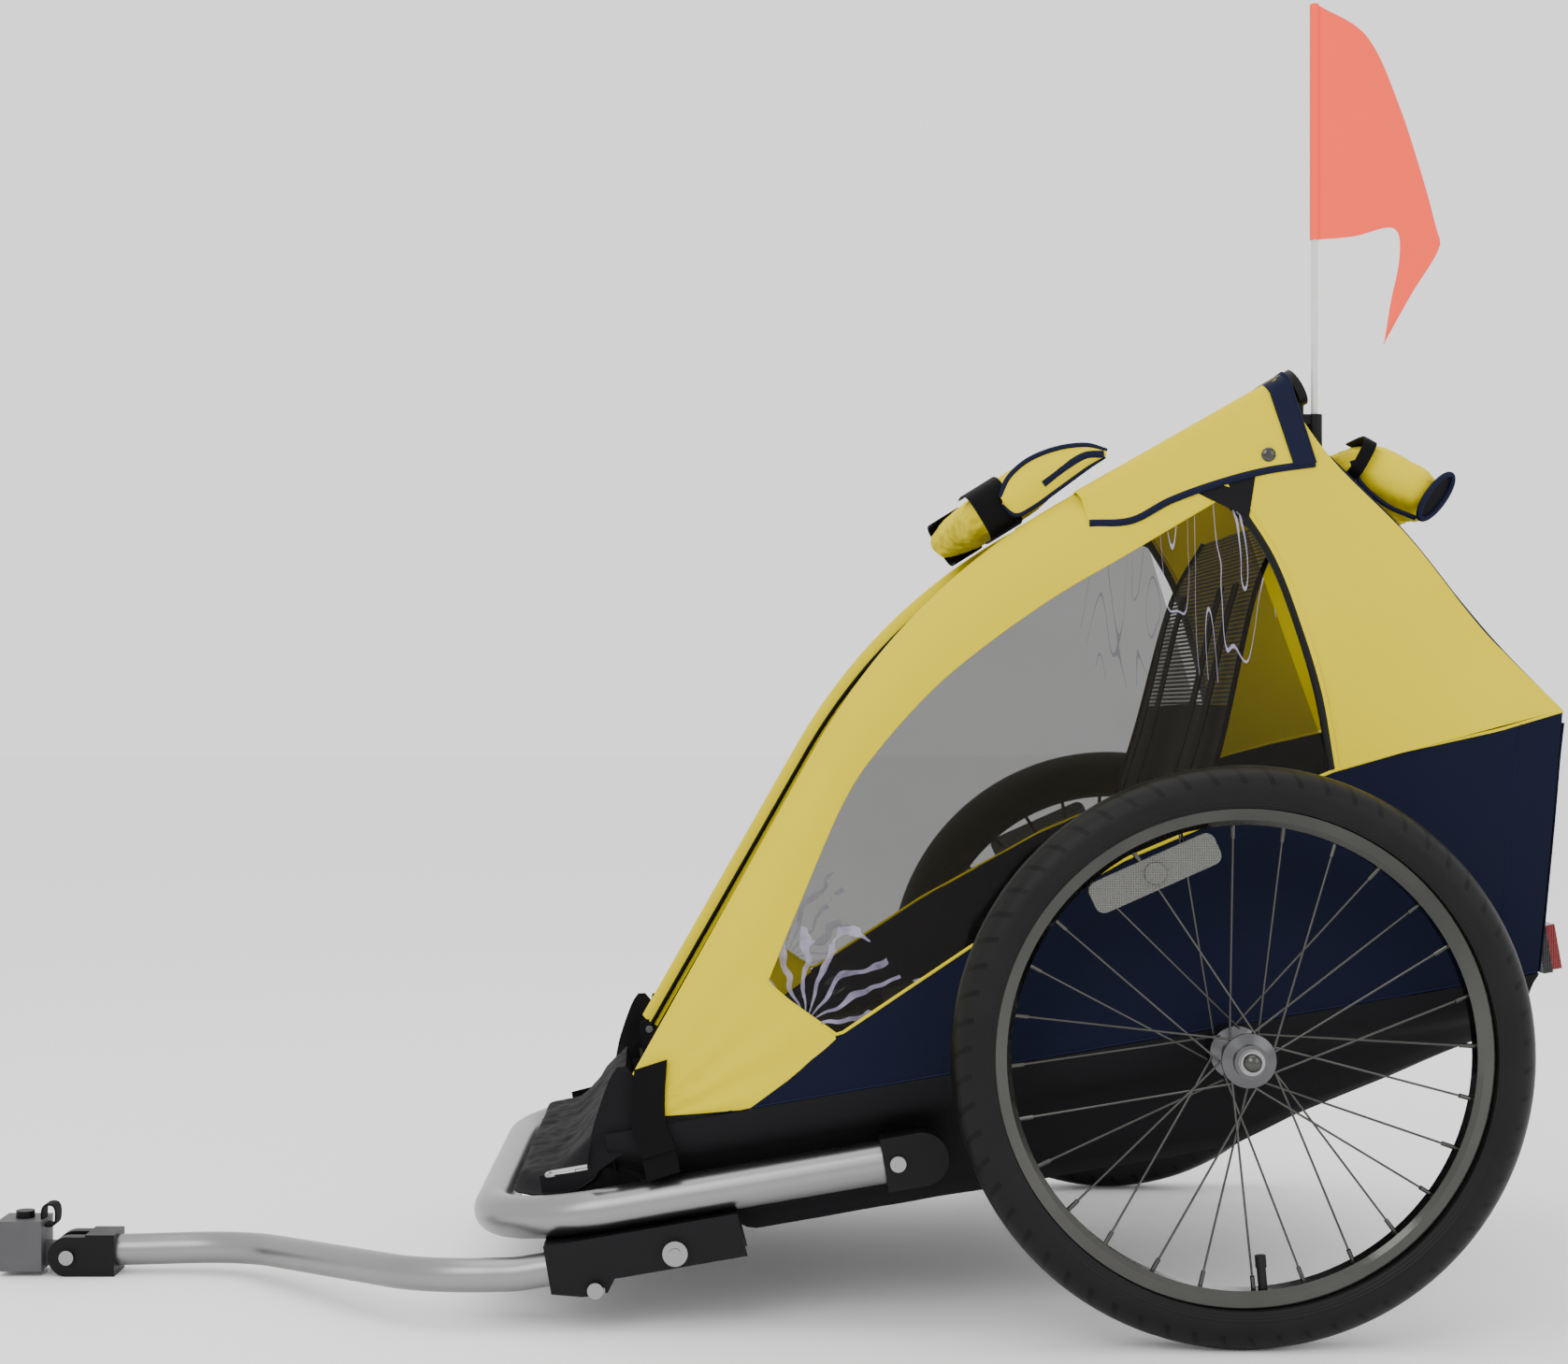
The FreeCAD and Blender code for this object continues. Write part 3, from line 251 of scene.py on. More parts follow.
def tyre_rubber():
    """Black rubber with slanted sipes on both shoulders, a ribbed crown and moulded rings on the walls; the
    sipes and the crown's grooves are painted near black as painted shade.
    """
    made = Finish("tyre_rubber", {"Specular IOR Level": 0.15})
    x, y, z = made.axes()
    x, z = x - AXLE.x, z - AXLE.z
    radius = made.root(x * x + z * z)
    turn = made.turn(x, z)
    across = made.size(made.size(y) - TRACK / 2 * MM)
    shoulder = (across > 0.009) * (radius > 0.2335)
    sipes = (made.sine(turn * 62 + across * 190) > 0.80) * shoulder
    grooves = (made.sine(across * 900) > 0.55) * (across < 0.0095) * (radius > 0.24)
    rings = made.sine(radius * 2400) * (radius < 0.222)
    dust = made.noise(22, 6)
    cut = sipes + grooves
    rubber_tone = made.mix(dust, (0.0028, 0.0028, 0.003, 1), (0.008, 0.008, 0.0078, 1))
    # The sipes and grooves are painted darker than the rubber: painted shade in the cuts.
    made.feed("Base Color", made.mix(cut, rubber_tone, (0.001, 0.001, 0.001, 1)))
    made.feed("Roughness", dust * 0.22 + 0.34)
    made.bump(rings * 0.12 - cut, 0.9, 0.0016)
    return made.material


def lens(name, colour, alpha):
    """A prismatic reflector lens: a grid of small corner cubes behind a clear face, the cubes' facets
    painted lighter and darker as painted light and shade.
    """
    made = Finish(name, {"Roughness": 0.15, "Coat Weight": 0.3, "Coat Roughness": 0.05,
                         "Specular IOR Level": 0.3})
    x, y, z = made.axes()
    pitch = 2 * math.pi / 0.004
    prisms = made.sine((x + z) * pitch) * made.sine((x - z) * pitch)
    along = (x - AXLE.x) * math.cos(PITCH) + (z - AXLE.z) * math.sin(PITCH)
    behind = (along < 0.3047) * (along > 0.29)
    # Painted light and shade: the lens colour is lighter on the prism peaks and darker in their hollows.
    glass = made.mix(prisms * 0.5 + 0.5, shade(colour, 0.5), shade(colour, 1.3))
    made.feed("Base Color", made.mix(behind, glass, (0.006, 0.006, 0.007, 1)))
    made.feed("Alpha", made.noise(60, 2) * 0.1 + (alpha - 0.05))
    made.bump(prisms, 0.6, 0.0012)
    return made.material


def film():
    """Lightly smoked clear film, with pale painted glints (painted reflections) along the creases at two of
    its corners.
    """
    made = Finish("window_film", {"Roughness": 0.05, "Specular IOR Level": 0.16})
    x, y, z = made.axes()
    haze = made.noise(14, 3)
    front, rear = body_point(-362, 0, 82), body_point(80, 0, 440)
    x_front, z_front = x - front.x, z - front.z
    reach = made.root(x_front * x_front + z_front * z_front)
    near_front = reach < made.noise(34, 2) * 0.17 - 0.002
    x_rear, z_rear = x - rear.x, z - rear.z
    near_rear = made.root(x_rear * x_rear * 1.6 + z_rear * z_rear * 0.35) < 0.075
    turn = made.turn(x_front, z_front)
    rays = made.sine(turn * 17 + made.noise(16, 2) * 26) > 0.62
    loops = made.sine(made.noise(9, 1, (2.6, 1, 0.32)) * 62) > 0.992
    # Painted highlights: rays at the front corner and thin loops at the rear corner, not lit by any lamp.
    painted_glints = near_front * rays * made.noise(60, 2) + near_rear * loops * 0.7
    smoke = made.mix(haze, (0.0050, 0.0040, 0.0015, 1), (0.0075, 0.0060, 0.0025, 1))
    # The painted glints turn the colour pale lavender and make the film less clear there.
    made.feed("Base Color", made.mix(painted_glints, smoke, (0.42, 0.38, 0.56, 1)))
    made.feed("Alpha", haze * 0.04 + 0.55 + painted_glints * 0.3)
    made.bump(made.noise(26, 2, (1, 1, 0.35)), 0.12, 0.004)
    return made.material


def seat_net(name):
    """An open knit: a grid of small holes in black thread."""
    made = Finish(name, {"Roughness": 0.8})
    x, y, z = made.axes()
    pitch = 2 * math.pi / 0.0085
    holes = made.sine((z + y) * pitch) * made.sine((z - y) * pitch)
    made.feed("Base Color", made.mix(made.noise(40, 2), (0.012, 0.012, 0.013, 1), (0.03, 0.03, 0.032, 1)))
    made.feed("Alpha", 1 - (holes > 0.45) * 0.8)
    made.bump(holes, 0.4, 0.001)
    return made.material


YELLOW = (0.62, 0.50, 0.0)
NAVY = (0.0032, 0.0048, 0.0165)
BLACK = (0.0045, 0.0045, 0.0055)
CORAL = (1.0, 0.085, 0.045)

FINISHES = {
    "yellow_fabric": woven("yellow_cloth", YELLOW, shine=0.08, variation=0.07, depth=0.3),
    "navy_fabric": woven("navy_cloth", NAVY, shine=0.10, variation=0.25, depth=0.4),
    "black_fabric": woven("black_cloth", BLACK, shine=0.14, variation=0.3, depth=0.4),
    "coral_fabric": woven("flag_nylon", CORAL, thread=0.7, shine=0.05, rough=0.55, variation=0.05,
                          depth=0.2),
    "navy_binding": woven("navy_binding", (0.003, 0.005, 0.022), thread=0.8, rough=0.6),
    "webbing": woven("black_webbing", (0.0025, 0.0025, 0.003), thread=2.2, rough=0.7, shine=0.08,
                     depth=0.6),
    "silver_tube": metal("anodised_tube", (0.27, 0.265, 0.265), 0.32, (1, 1, 8)),
    "steel": metal("plated_steel", (0.28, 0.28, 0.285), 0.26),
    "chrome": metal("chrome_plate", (0.085, 0.085, 0.08), 0.13, variation=0.45),
    "hub_alloy": metal("hub_alloy", (0.10, 0.10, 0.105), 0.24),
    "black_frame": moulded("powder_coat", (0.0042, 0.0042, 0.005), 0.42, 500, 0.2),
    "black_plastic": moulded("black_moulding", (0.004, 0.004, 0.0045), 0.45),
    "grey_plastic": moulded("grey_moulding", (0.07, 0.07, 0.073), 0.5),
    "red_plastic": moulded("red_moulding", (0.35, 0.01, 0.01), 0.35),
    "white_rod": moulded("pole_fibreglass", (0.55, 0.55, 0.52), 0.35, 200, 0.1, 0.3),
    "tyre": tyre_rubber(),
    "valve_rubber": rubber("valve_rubber"),
    "clear_lens": lens("clear_prisms", (0.14, 0.14, 0.13), 0.82),
    "red_lens": lens("red_prisms", (0.22, 0.006, 0.006), 1.0),
    "clear_film": film(),
    "net": seat_net("seat_net"),
}


def finish_cad_nodes():
    """Give each kept CAD node the finish of its slot in the record."""
    slots = {part["node"]: part["material_slot"] for part in frame["record"]["subparts"]}
    for name, node in frame["nodes"].items():
        node.data.materials.clear()
        node.data.materials.append(FINISHES[slots[name]])
        for face in node.data.polygons:
            face.use_smooth = True
        node.data.set_sharp_from_angle(angle=math.radians(30))


# The stage

def area_light(name, place, aim, size, power):
    data = bpy.data.lights.new(name, "AREA")
    data.shape = "RECTANGLE"
    data.size, data.size_y = size
    data.energy = power
    made = bpy.data.objects.new(name, data)
    made.location = place
    made.rotation_euler = (Vector(aim) - Vector(place)).to_track_quat("-Z", "Y").to_euler()
    bpy.context.scene.collection.objects.link(made)


def set_stage():
    """A pale floor, a pale surround and soft light from above and from both sides."""
    world = bpy.data.worlds.new("surround")
    bpy.context.scene.world = world
    world.use_nodes = True
    sky = world.node_tree.nodes["Background"]
    sky.inputs["Color"].default_value = (1.0, 1.0, 1.0, 1)
    sky.inputs["Strength"].default_value = 1.5
    bpy.ops.mesh.primitive_plane_add(size=60, location=(0, 0, 0))
    floor = bpy.context.object
    floor.name = "floor"
    pale = Finish("pale_floor", {"Roughness": 0.6, "Base Color": (0.93, 0.93, 0.93, 1)})
    floor.data.materials.append(pale.material)
    area_light("key", (-1.4, -3.2, 3.0), (0.1, 0, 0.4), (2.4, 2.4), 60)
    area_light("fill", (2.6, -2.6, 1.8), (0.2, 0, 0.4), (2.0, 2.0), 18)
    area_light("top", (0.2, 0.2, 3.6), (0.2, 0, 0.3), (3.0, 3.0), 40)


def set_camera():
    """A level view of the trailer's left side, framed with a small shift."""
    data = bpy.data.cameras.new("camera")
    data.sensor_width = 36
    data.lens = 57.6
    data.shift_x = 0.0426
    data.shift_y = 0.0206
    data.clip_end = 100
    made = bpy.data.objects.new("camera", data)
    made.location = (AXLE.x - 0.448, -2.509, 0.541)
    made.rotation_euler = (math.radians(90), 0, 0)
    bpy.context.scene.collection.objects.link(made)
    bpy.context.scene.camera = made


# Curves and meshes

def spaced(points, count):
    """A number of points evenly spaced along a run of points."""
    points = np.array([tuple(point) for point in points], float)
    steps = np.linalg.norm(np.diff(points, axis=0), axis=1)
    distance = np.concatenate([[0], np.cumsum(steps)])
    wanted = np.linspace(0, distance[-1], count)
    columns = [np.interp(wanted, distance, points[:, i]) for i in range(points.shape[1])]
    return [tuple(float(number) for number in row) for row in zip(*columns)]


def smooth(points, count):
    """A number of points evenly spaced along a smooth curve through the points given."""
    points = [np.array(tuple(point), float) for point in points]
    ends = [2 * points[0] - points[1]] + points + [2 * points[-1] - points[-2]]
    dense = []
    for a, b, c, d in zip(ends, ends[1:], ends[2:], ends[3:]):
        for t in np.linspace(0, 1, 24, endpoint=False):
            dense.append(0.5 * (2 * b + (c - a) * t + (2 * a - 5 * b + 4 * c - d) * t ** 2
                                + (3 * b - a - 3 * c + d) * t ** 3))
    return spaced(dense + [points[-1]], count)


def ease(value):
    value = min(max(value, 0), 1)
    return value * value * (3 - 2 * value)


def mixed(a, b, share):
    return a * (1 - share) + b * share


def between(start, end, share):
    return tuple(mixed(a, b, share) for a, b in zip(start, end))


def wrinkle(x, z, size, seed=0.0):
    """A soft unevenness between -1 and 1, for folds about the given size in millimetres."""
    return noise.noise(Vector((x / size, seed, z / size)))


def bulge(value, power):
    """The value raised to a power with its sign kept: it squares off a sine or a cosine."""
    return math.copysign(abs(value) ** power, value)


class Shape:
    """The faces of one piece, added a grid at a time."""

    def __init__(self):
        self.points = []
        self.faces = []

    def add(self, rows, around=False):
        """A grid of faces over rows of points; around joins each row's end to its start."""
        start = len(self.points)
        width = len(rows[0])
        for row in rows:
            self.points.extend(Vector(point) for point in row)
        for i in range(len(rows) - 1):
            for j in range(width if around else width - 1):
                a = start + i * width + j
                b = start + i * width + (j + 1) % width
                self.faces.append((a, b, b + width, a + width))
        return self

    def close(self, ring):
        """A flat face over a ring of points."""
        start = len(self.points)
        self.points.extend(Vector(point) for point in ring)
        self.faces.append(tuple(range(start, start + len(ring))))
        return self

    def add_tube(self, path, width, height=None, across=(0, 1, 0), sides=12, closed=False):
        """A capped oval bar along a path of points; width is measured along across."""
        path = [Vector(point) for point in path]
        height = height or width
        rings = []
        for i, point in enumerate(path):
            before = path[i - 1] if i or closed else path[0]
            after = path[(i + 1) % len(path)] if i + 1 < len(path) or closed else path[-1]
            run = (after - before).normalized()
            out = run.cross(Vector(across)).normalized()
            side = out.cross(run)
            turns = [2 * math.pi * k / sides for k in range(sides)]
            rings.append([point + (side * (width / 2 * math.cos(turn))
                                   + out * (height / 2 * math.sin(turn))) * MM for turn in turns])
        if closed:
            rings.append(rings[0])
        self.add(rings, around=True)
        if not closed:
            self.close(rings[0])
            self.close(rings[-1])
        return self


def settle(piece):
    """Apply a piece's modifiers, so that its mesh is final."""
    bpy.context.view_layer.update()
    shown = piece.evaluated_get(bpy.context.evaluated_depsgraph_get())
    piece.data = bpy.data.meshes.new_from_object(shown)
    piece.modifiers.clear()


def make(name, shape, finish, body, thickness=0.0, replaces=(), rounding=0, sharp=40):
    """A named piece with its finish, riding on a body of the frame."""
    mesh = bpy.data.meshes.new(name)
    mesh.from_pydata([tuple(point) for point in shape.points], [], shape.faces)
    mesh.materials.append(FINISHES[finish])
    piece = bpy.data.objects.new(name, mesh)
    bpy.context.scene.collection.objects.link(piece)
    work = bmesh.new()
    work.from_mesh(mesh)
    bmesh.ops.remove_doubles(work, verts=work.verts, dist=0.00005)
    bmesh.ops.recalc_face_normals(work, faces=work.faces)
    work.to_mesh(mesh)
    work.free()
    if thickness:
        solidify = piece.modifiers.new("thickness", "SOLIDIFY")
        solidify.thickness = thickness * MM
        solidify.offset = 0
    if rounding:
        rounded = piece.modifiers.new("rounding", "SUBSURF")
        rounded.levels = rounding
        rounded.render_levels = rounding
    if thickness or rounding:
        settle(piece)
    for face in piece.data.polygons:
        face.use_smooth = True
    piece.data.set_sharp_from_angle(angle=math.radians(sharp))
    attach(piece, body)
    if replaces:
        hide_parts(*replaces)
    return piece


def fold_down(piece):
    """The piece gets a mesh of its own."""
    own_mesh(piece)


def on_both_sides(build):
    """One shape from a function that draws a side of the trailer, called for each side."""
    shape = Shape()
    for side in (-1, 1):
        build(shape, side)
    return shape


# The hoops' line

def hoop_line(count):
    """Evenly spaced (x, z) points along the middle of the front hoop, from its foot to its tip."""
    lower = np.array([math.cos(HOOP_LOWER_ANGLE), math.sin(HOOP_LOWER_ANGLE)])
    upper = np.array([math.cos(HOOP_UPPER_ANGLE), math.sin(HOOP_UPPER_ANGLE)])
    foot, tip = np.array(HOOP_FOOT, float), np.array(HOOP_TIP, float)
    reach, back = np.linalg.solve(np.column_stack([lower, upper]), tip - foot)
    corner = foot + lower * reach
    cut = HOOP_BEND * math.tan((HOOP_LOWER_ANGLE - HOOP_UPPER_ANGLE) / 2)
    start, end = corner - lower * cut, corner + upper * cut
    bend = [(1 - t) ** 2 * start + 2 * t * (1 - t) * corner + t * t * end
            for t in np.linspace(0, 1, 30)]
    return spaced([foot] + bend + [tip], count)


HOOP = hoop_line(903)           # a point every millimetre


def hoop_at(distance):
    """The (x, z) point at a distance up the front hoop's middle line, and the way out from it."""
    index = min(max(int(round(distance)), 0), len(HOOP) - 1)
    x, z = HOOP[index]
    first, last = HOOP[max(index - 3, 0)], HOOP[min(index + 3, len(HOOP) - 1)]
    run = Vector((last[0] - first[0], last[1] - first[1])).normalized()
    return (x, z), (-run.y, run.x)


def nearest_on_hoop(point):
    """The distance up the hoop at which it passes closest to a point."""
    def gap(i):
        return (HOOP[i][0] - point[0]) ** 2 + (HOOP[i][1] - point[1]) ** 2
    return min(range(len(HOOP)), key=gap)


# Side fabric

SKIN = 1.5                      # depth of the side fabric's middle
SLEEVE = HOOP_RADIUS + 2.5      # radius of the fabric round the hoop
SLEEVE_END = 55                 # angle at which the fabric leaves the hoop, in degrees


def band_edges():
    """Pairs of a distance along the hoop and the (x, z) point across the band from it."""
    foot = [(12, (-498, 24)), (28, (-424, 17)), (72, (-342, 57)), (82, (-335, 67)),
            (95, (-347, 79)), (132, (-389, 124))]
    knots = spaced([(distance, *point) for distance, point in foot], 30)
    pairs = [(knot[0], knot[1:]) for knot in knots]
    for point in smooth(WINDOW_TOP, 64)[1:]:
        pairs.append((max(nearest_on_hoop(point), pairs[-1][0] + 1), point))
    pairs.append((pairs[-1][0] + 12, (104, 478)))
    return pairs


def draw_band(shape, side):
    """The yellow band: a sleeve round the hoop that runs flat to the window's edge."""
    rows = []
    for distance, inner in band_edges():
        (x, z), (out_x, out_z) = hoop_at(distance)
        row = []
        for turn in np.radians(np.linspace(-100, SLEEVE_END, 9)):
            reach = SLEEVE * math.cos(turn)
            depth = HOOP_DEPTH - SLEEVE * math.sin(turn)
            row.append(side_point(x + out_x * reach, z + out_z * reach, depth, side))
        reach = SLEEVE * math.cos(math.radians(SLEEVE_END))
        outer = (x + out_x * reach, z + out_z * reach)
        leave = HOOP_DEPTH - SLEEVE * math.sin(math.radians(SLEEVE_END))
        for share in np.linspace(0, 1, 19)[1:]:
            px, pz = between(outer, inner, share)
            away = math.dist((px, pz), outer)
            depth = SKIN + (leave - SKIN) * math.exp(-away / 9)
            depth -= 2.6 * math.sin(math.pi * share) + 1.1 * wrinkle(px, pz, 60)
            gather = math.exp(-math.dist((px, pz), (-455, 45)) / 70)
            pull = gather * ease((away - 10) / 30) * ease((1 - share) / 0.1)
            depth -= 2.4 * pull * math.sin(math.atan2(pz - 20, px + 520) * 22 + wrinkle(px, pz, 50, 27))
            row.append(side_point(px, pz, depth, side))
        rows.append(row)
    shape.add(rows)


def draw_rear_panel(shape, side):
    """The yellow panel behind the bow."""
    front = smooth([(92, 540)] + BOW, 36)
    back = smooth(PANEL_BACK, 36)
    rows = []
    for start, end in zip(front, back):
        row = []
        for share in np.linspace(0, 1, 26):
            x, z = between(start, end, share)
            near_corner = ease((x - 180) / 160) * ease((330 - z) / 90)
            pull = wrinkle(x * 0.4 + z * 0.9, x * 0.12, 30, 2) * near_corner
            belly = math.sin(math.pi * share)
            row.append(side_point(x, z, SKIN - 2.2 * belly - 0.9 * pull - 0.6 * wrinkle(x, z, 90), side))
        rows.append(row)
    shape.add(rows)


def draw_lower_panel(shape, side):
    """The navy side below the window, ribbed lightly from top to bottom."""
    top = spaced([(-342, 57)] + WINDOW_SILL + PANEL_SEAM[1:], 130)
    bottom = spaced([(-424, 17), (281, 17)], 130)
    rows = []
    for start, end in zip(top, bottom):
        row = []
        for share in np.linspace(0, 1, 22):
            x, z = between(start, end, share)
            rib = math.sin(x / 9) * 0.25 * ease((100 - x) / 80)
            depth = SKIN - 1.0 * math.sin(math.pi * share) - rib - 0.8 * wrinkle(x, z * 0.5, 70, 5)
            row.append(side_point(x, z, depth, side))
        rows.append(row)
    shape.add(rows)


def window_rows(side):
    """The window's film, with rays of creases at its front corner and loops at its rear one."""
    top = smooth(WINDOW_TOP, 90)
    top[-1] = (104, 478)
    bottom = spaced([(-389, 124), (-347, 79)] + WINDOW_SILL, 90)
    rows = []
    for start, end in zip(top, bottom):
        row = []
        for share in np.linspace(0, 1, 42):
            x, z = between(start, end, share)
            front = math.exp(-math.dist((x, z), (-352, 112)) / 45)
            rear = math.exp(-math.dist((x, z), (70, 400)) / 80)
            turn = math.atan2(z - 96, x + 372)
            rays = math.sin(turn * 21 + 3 * wrinkle(x, z, 40)) * front
            loops = math.sin(z / 13 + 5 * wrinkle(x, z, 70, 3)) * rear
            depth = SKIN - 1.3 * rays - 1.4 * loops - 0.7 * wrinkle(x * 2, z * 0.6, 70, 1)
            row.append(side_point(x, z, depth, side))
        rows.append(row)
    return rows


def side_fabric():
    """The yellow covers, the window films and the navy lower sides."""
    covers = on_both_sides(lambda shape, side: (draw_band(shape, side), draw_rear_panel(shape, side)))
    piece = make("side_covers", covers, "yellow_fabric", "frame", 1.2, ["side_panels"])
    fold_down(piece)
    films = on_both_sides(lambda shape, side: shape.add(window_rows(side)))
    piece = make("window_films", films, "clear_film", "frame", 0, ["windows"])
    fold_down(piece)
    lower = on_both_sides(draw_lower_panel)
    piece = make("lower_sides", lower, "navy_fabric", "frame", 1.2, ["lower_panels"])
    fold_down(piece)


def side_trim():
    """The piping, seams and bow that edge the side fabric."""
    def on_side(line, depth, side):
        return [side_point(x, z, depth, side) for x, z in line]

    def draw_piping(shape, side):
        sill = spaced([(-347, 79)] + WINDOW_SILL, 70)
        seam = spaced(PANEL_SEAM, 24)
        rim = [(-348, 80), (-370, 102), (-389, 124)] + smooth(WINDOW_TOP, 70)[1:]
        bow = [(x + 8, z) for x, z in smooth(BOW, 30)]
        for line in (sill, seam, bow):
            shape.add_tube(on_side(line, SKIN - 0.5, side), 3.0, sides=8)
        shape.add_tube(on_side(spaced(rim, 90), SKIN - 0.2, side), 2.6, sides=8)

    piping = on_both_sides(draw_piping)
    fold_down(make("side_piping", piping, "yellow_fabric", "frame"))

    def draw_seams(shape, side):
        corner = smooth([(313, 236), (300, 200), (276, 120), (243, 20)], 30)
        shape.add_tube(on_side(corner, SKIN - 0.6, side), 2.4, 1.4, sides=8)
        edge = smooth([(345, 250)] + PANEL_BACK[::-1][1:5], 30)
        shape.add_tube(on_side(edge, SKIN + 1, side), 3.2, sides=8)
        shape.add_tube(on_side(spaced([(-420, 18), (280, 18)], 60), SKIN - 0.6, side), 2.4, sides=8)

    seams = on_both_sides(draw_seams)
    fold_down(make("side_seams", seams, "navy_binding", "frame"))

    def draw_front_edge(shape, side):
        line = [hoop_at(distance) for distance in range(10, 640, 9)]
        edge = [(x + out[0] * 4, z + out[1] * 4) for (x, z), out in line]
        shape.add_tube(on_side(edge, HOOP_DEPTH + SLEEVE + 1, side), 4.5, sides=8)

    edges = on_both_sides(draw_front_edge)
    fold_down(make("front_edges", edges, "black_fabric", "frame"))

    def draw_bow(shape, side):
        shape.add_tube(on_side(smooth(BOW, 40), 3.5, side), 7.5, sides=14)

    bows = on_both_sides(draw_bow)
    fold_down(make("bow_tubes", bows, "black_frame", "frame", replaces=["bow_rods"]))

    def draw_patch(shape, side):
        corners = [(112, 462), (70, 492), (128, 506)]
        tip, left, right = (side_point(x, z, SKIN - 1.5, side) for x, z in corners)
        rows = [[between(between(tip, left, level), between(tip, right, level), share)
                 for share in np.linspace(0, 1, 7)] for level in np.linspace(0.02, 1, 7)]
        shape.add(rows)

    patches = on_both_sides(draw_patch)
    piece = make("bow_patches", patches, "black_fabric", "frame", 1.2)
    fold_down(piece)


# Roof cover and the rolled covers

def roof_station(back):
    """The (x, z) point a distance forward of the hoop's tip, or beyond it, and the way out from it."""
    index = len(HOOP) - 1 - max(back, 0)
    (x, z), (out_x, out_z) = hoop_at(index)
    beyond = min(back, 0)
    run = (out_z, -out_x)
    return (x - run[0] * beyond, z - run[1] * beyond), (out_x, out_z)


FLAP_EDGE = smooth([(-31, 481), (7, 477), (45, 489), (89, 497), (133, 501), (180, 500)], 45)
ROOF_EDGE_OUT = 15.5            # how far the top of the roof cover lies out from the hoop's middle


def roof_row(share, lift=0.0):
    """One line across the roof cover, from its left lower edge over both hoop legs to the right one."""
    (x, z), (out_x, out_z) = roof_station(mixed(213, -6, share))
    edge = FLAP_EDGE[min(int(round(share * 44)), 44)]
    flap = []
    for down in np.linspace(1, 0, 12):
        px, pz = between((x + out_x * 5, z + out_z * 5), edge, down)
        free = math.sin(math.pi * min(down, 0.8))
        fold = wrinkle(px * 0.5 + pz, px * 0.25, 26, 7) * free * (1 - share * 0.6)
        flap.append((px, pz, -1.8 - lift - 1.6 * max(fold, -0.6)))
    for turn in np.radians([25, 50, 72]):
        reach = 5 + 10.5 * math.sin(turn)
        flap.append((x + out_x * reach, z + out_z * reach, 11 - (12.8 + lift) * math.cos(turn)))
    left = [side_point(px, pz, depth, -1) for px, pz, depth in flap]
    right = [side_point(px, pz, depth, 1) for px, pz, depth in flap]
    start, end = (side_point(x + out_x * ROOF_EDGE_OUT, z + out_z * ROOF_EDGE_OUT, 18, side)
                  for side in (-1, 1))
    middle = []
    for across in np.linspace(0, 1, 30):
        sag = -3.5 * math.sin(math.pi * across) + 1.6 * wrinkle(x * 0.6, across * 240, 40, 9) + lift
        middle.append(start.lerp(end, across) + UP * sag * MM)
    return left + middle + right[::-1]


def roof():
    """The roof cover with its binding, its edging and a press stud on each side."""
    rows = [roof_row(share) for share in np.linspace(0, 1, 56)]
    piece = make("roof_cover_cloth", Shape().add(rows), "yellow_fabric", "front_hoop_body",
                 1.4, ["roof_cover"])
    band = [roof_row(share, 1.6) for share in np.linspace(0.905, 1, 7)]
    piece = make("roof_rear_binding", Shape().add(band), "navy_binding",
                 "front_hoop_body", 1.0)
    edges = Shape()
    for column in (0, -1):
        edges.add_tube([row[column] for row in rows], 3.2, 7, sides=10)
    edges.add_tube([point + UP * 0.5 * MM for point in rows[-1]], 3.4, 5, across=(1, 0, 0), sides=10)
    make("roof_edging", edges, "navy_binding", "front_hoop_body")
    studs = Shape()
    for side in (-1, 1):
        place = side_point(140, 515, -2.6, side)
        rings = [[place + Vector((math.cos(turn) * radius, side * height, math.sin(turn) * radius)) * MM
                  for turn in np.linspace(0, 2 * math.pi, 24, endpoint=False)]
                 for radius, height in ((6.5, 0), (6.5, 1.0), (5.2, 2.2), (2.5, 2.9), (0.3, 3.0))]
        studs.add(rings, around=True)
        studs.faces.append(tuple(range(len(studs.points) - 24, len(studs.points))))
    make("press_studs", studs, "chrome", "front_hoop_body")


def bundle_rows(centre, angle, wide, high, half_length, seed):
    """A rolled-up cover as one crumpled oval bundle with gathered ends."""
    rows = []
    for across in np.linspace(-1, 1, 111):
        end = max(1 - abs(across) ** 14, 0) ** 0.42
        tied = 1 - 0.13 * math.exp(-((abs(across) - 0.6) / 0.05) ** 2)
        row = []
        for turn in np.linspace(0, 2 * math.pi, 72, endpoint=False):
            c, s = math.cos(turn), math.sin(turn)
            crease = noise.noise(Vector((across * 5, c * 1.6 + seed, s * 1.6)))
            pleat = abs(noise.noise(Vector((across * 14, c * 4 + seed, s * 4))))
            reach = end * tied * (1 + 0.09 * crease - 0.10 * pleat)
            u = bulge(c, 0.9) * wide / 2 * reach
            v = bulge(s, 0.8) * high / 2 * reach
            row.append(on_roll(centre, angle, u, v, across * half_length))
        rows.append(row)
    return rows


def on_roll(centre, angle, u, v, y):
    """A point given along and across a roll's oval section."""
    x, z = centre
    px = x + math.cos(angle) * u - math.sin(angle) * v
    pz = z + math.sin(angle) * u + math.cos(angle) * v
    return body_point(px, y, pz)


def end_strap(shape, centre, angle, u, width, high, half_length):
    """A webbing strap over each end of a roll."""
    for side in (-1, 1):
        line = [(high * 0.52, 150), (high * 0.53, half_length - 26), (high * 0.40, half_length - 2),
                (0, half_length + 3), (-high * 0.40, half_length - 2), (-high * 0.53, half_length - 26),
                (-high * 0.52, 150)]
        shape.add([[on_roll(centre, angle, u + place * width / 2, v, side * y) for place in WEB_ROW]
                   for v, y in smooth(line, 60)])


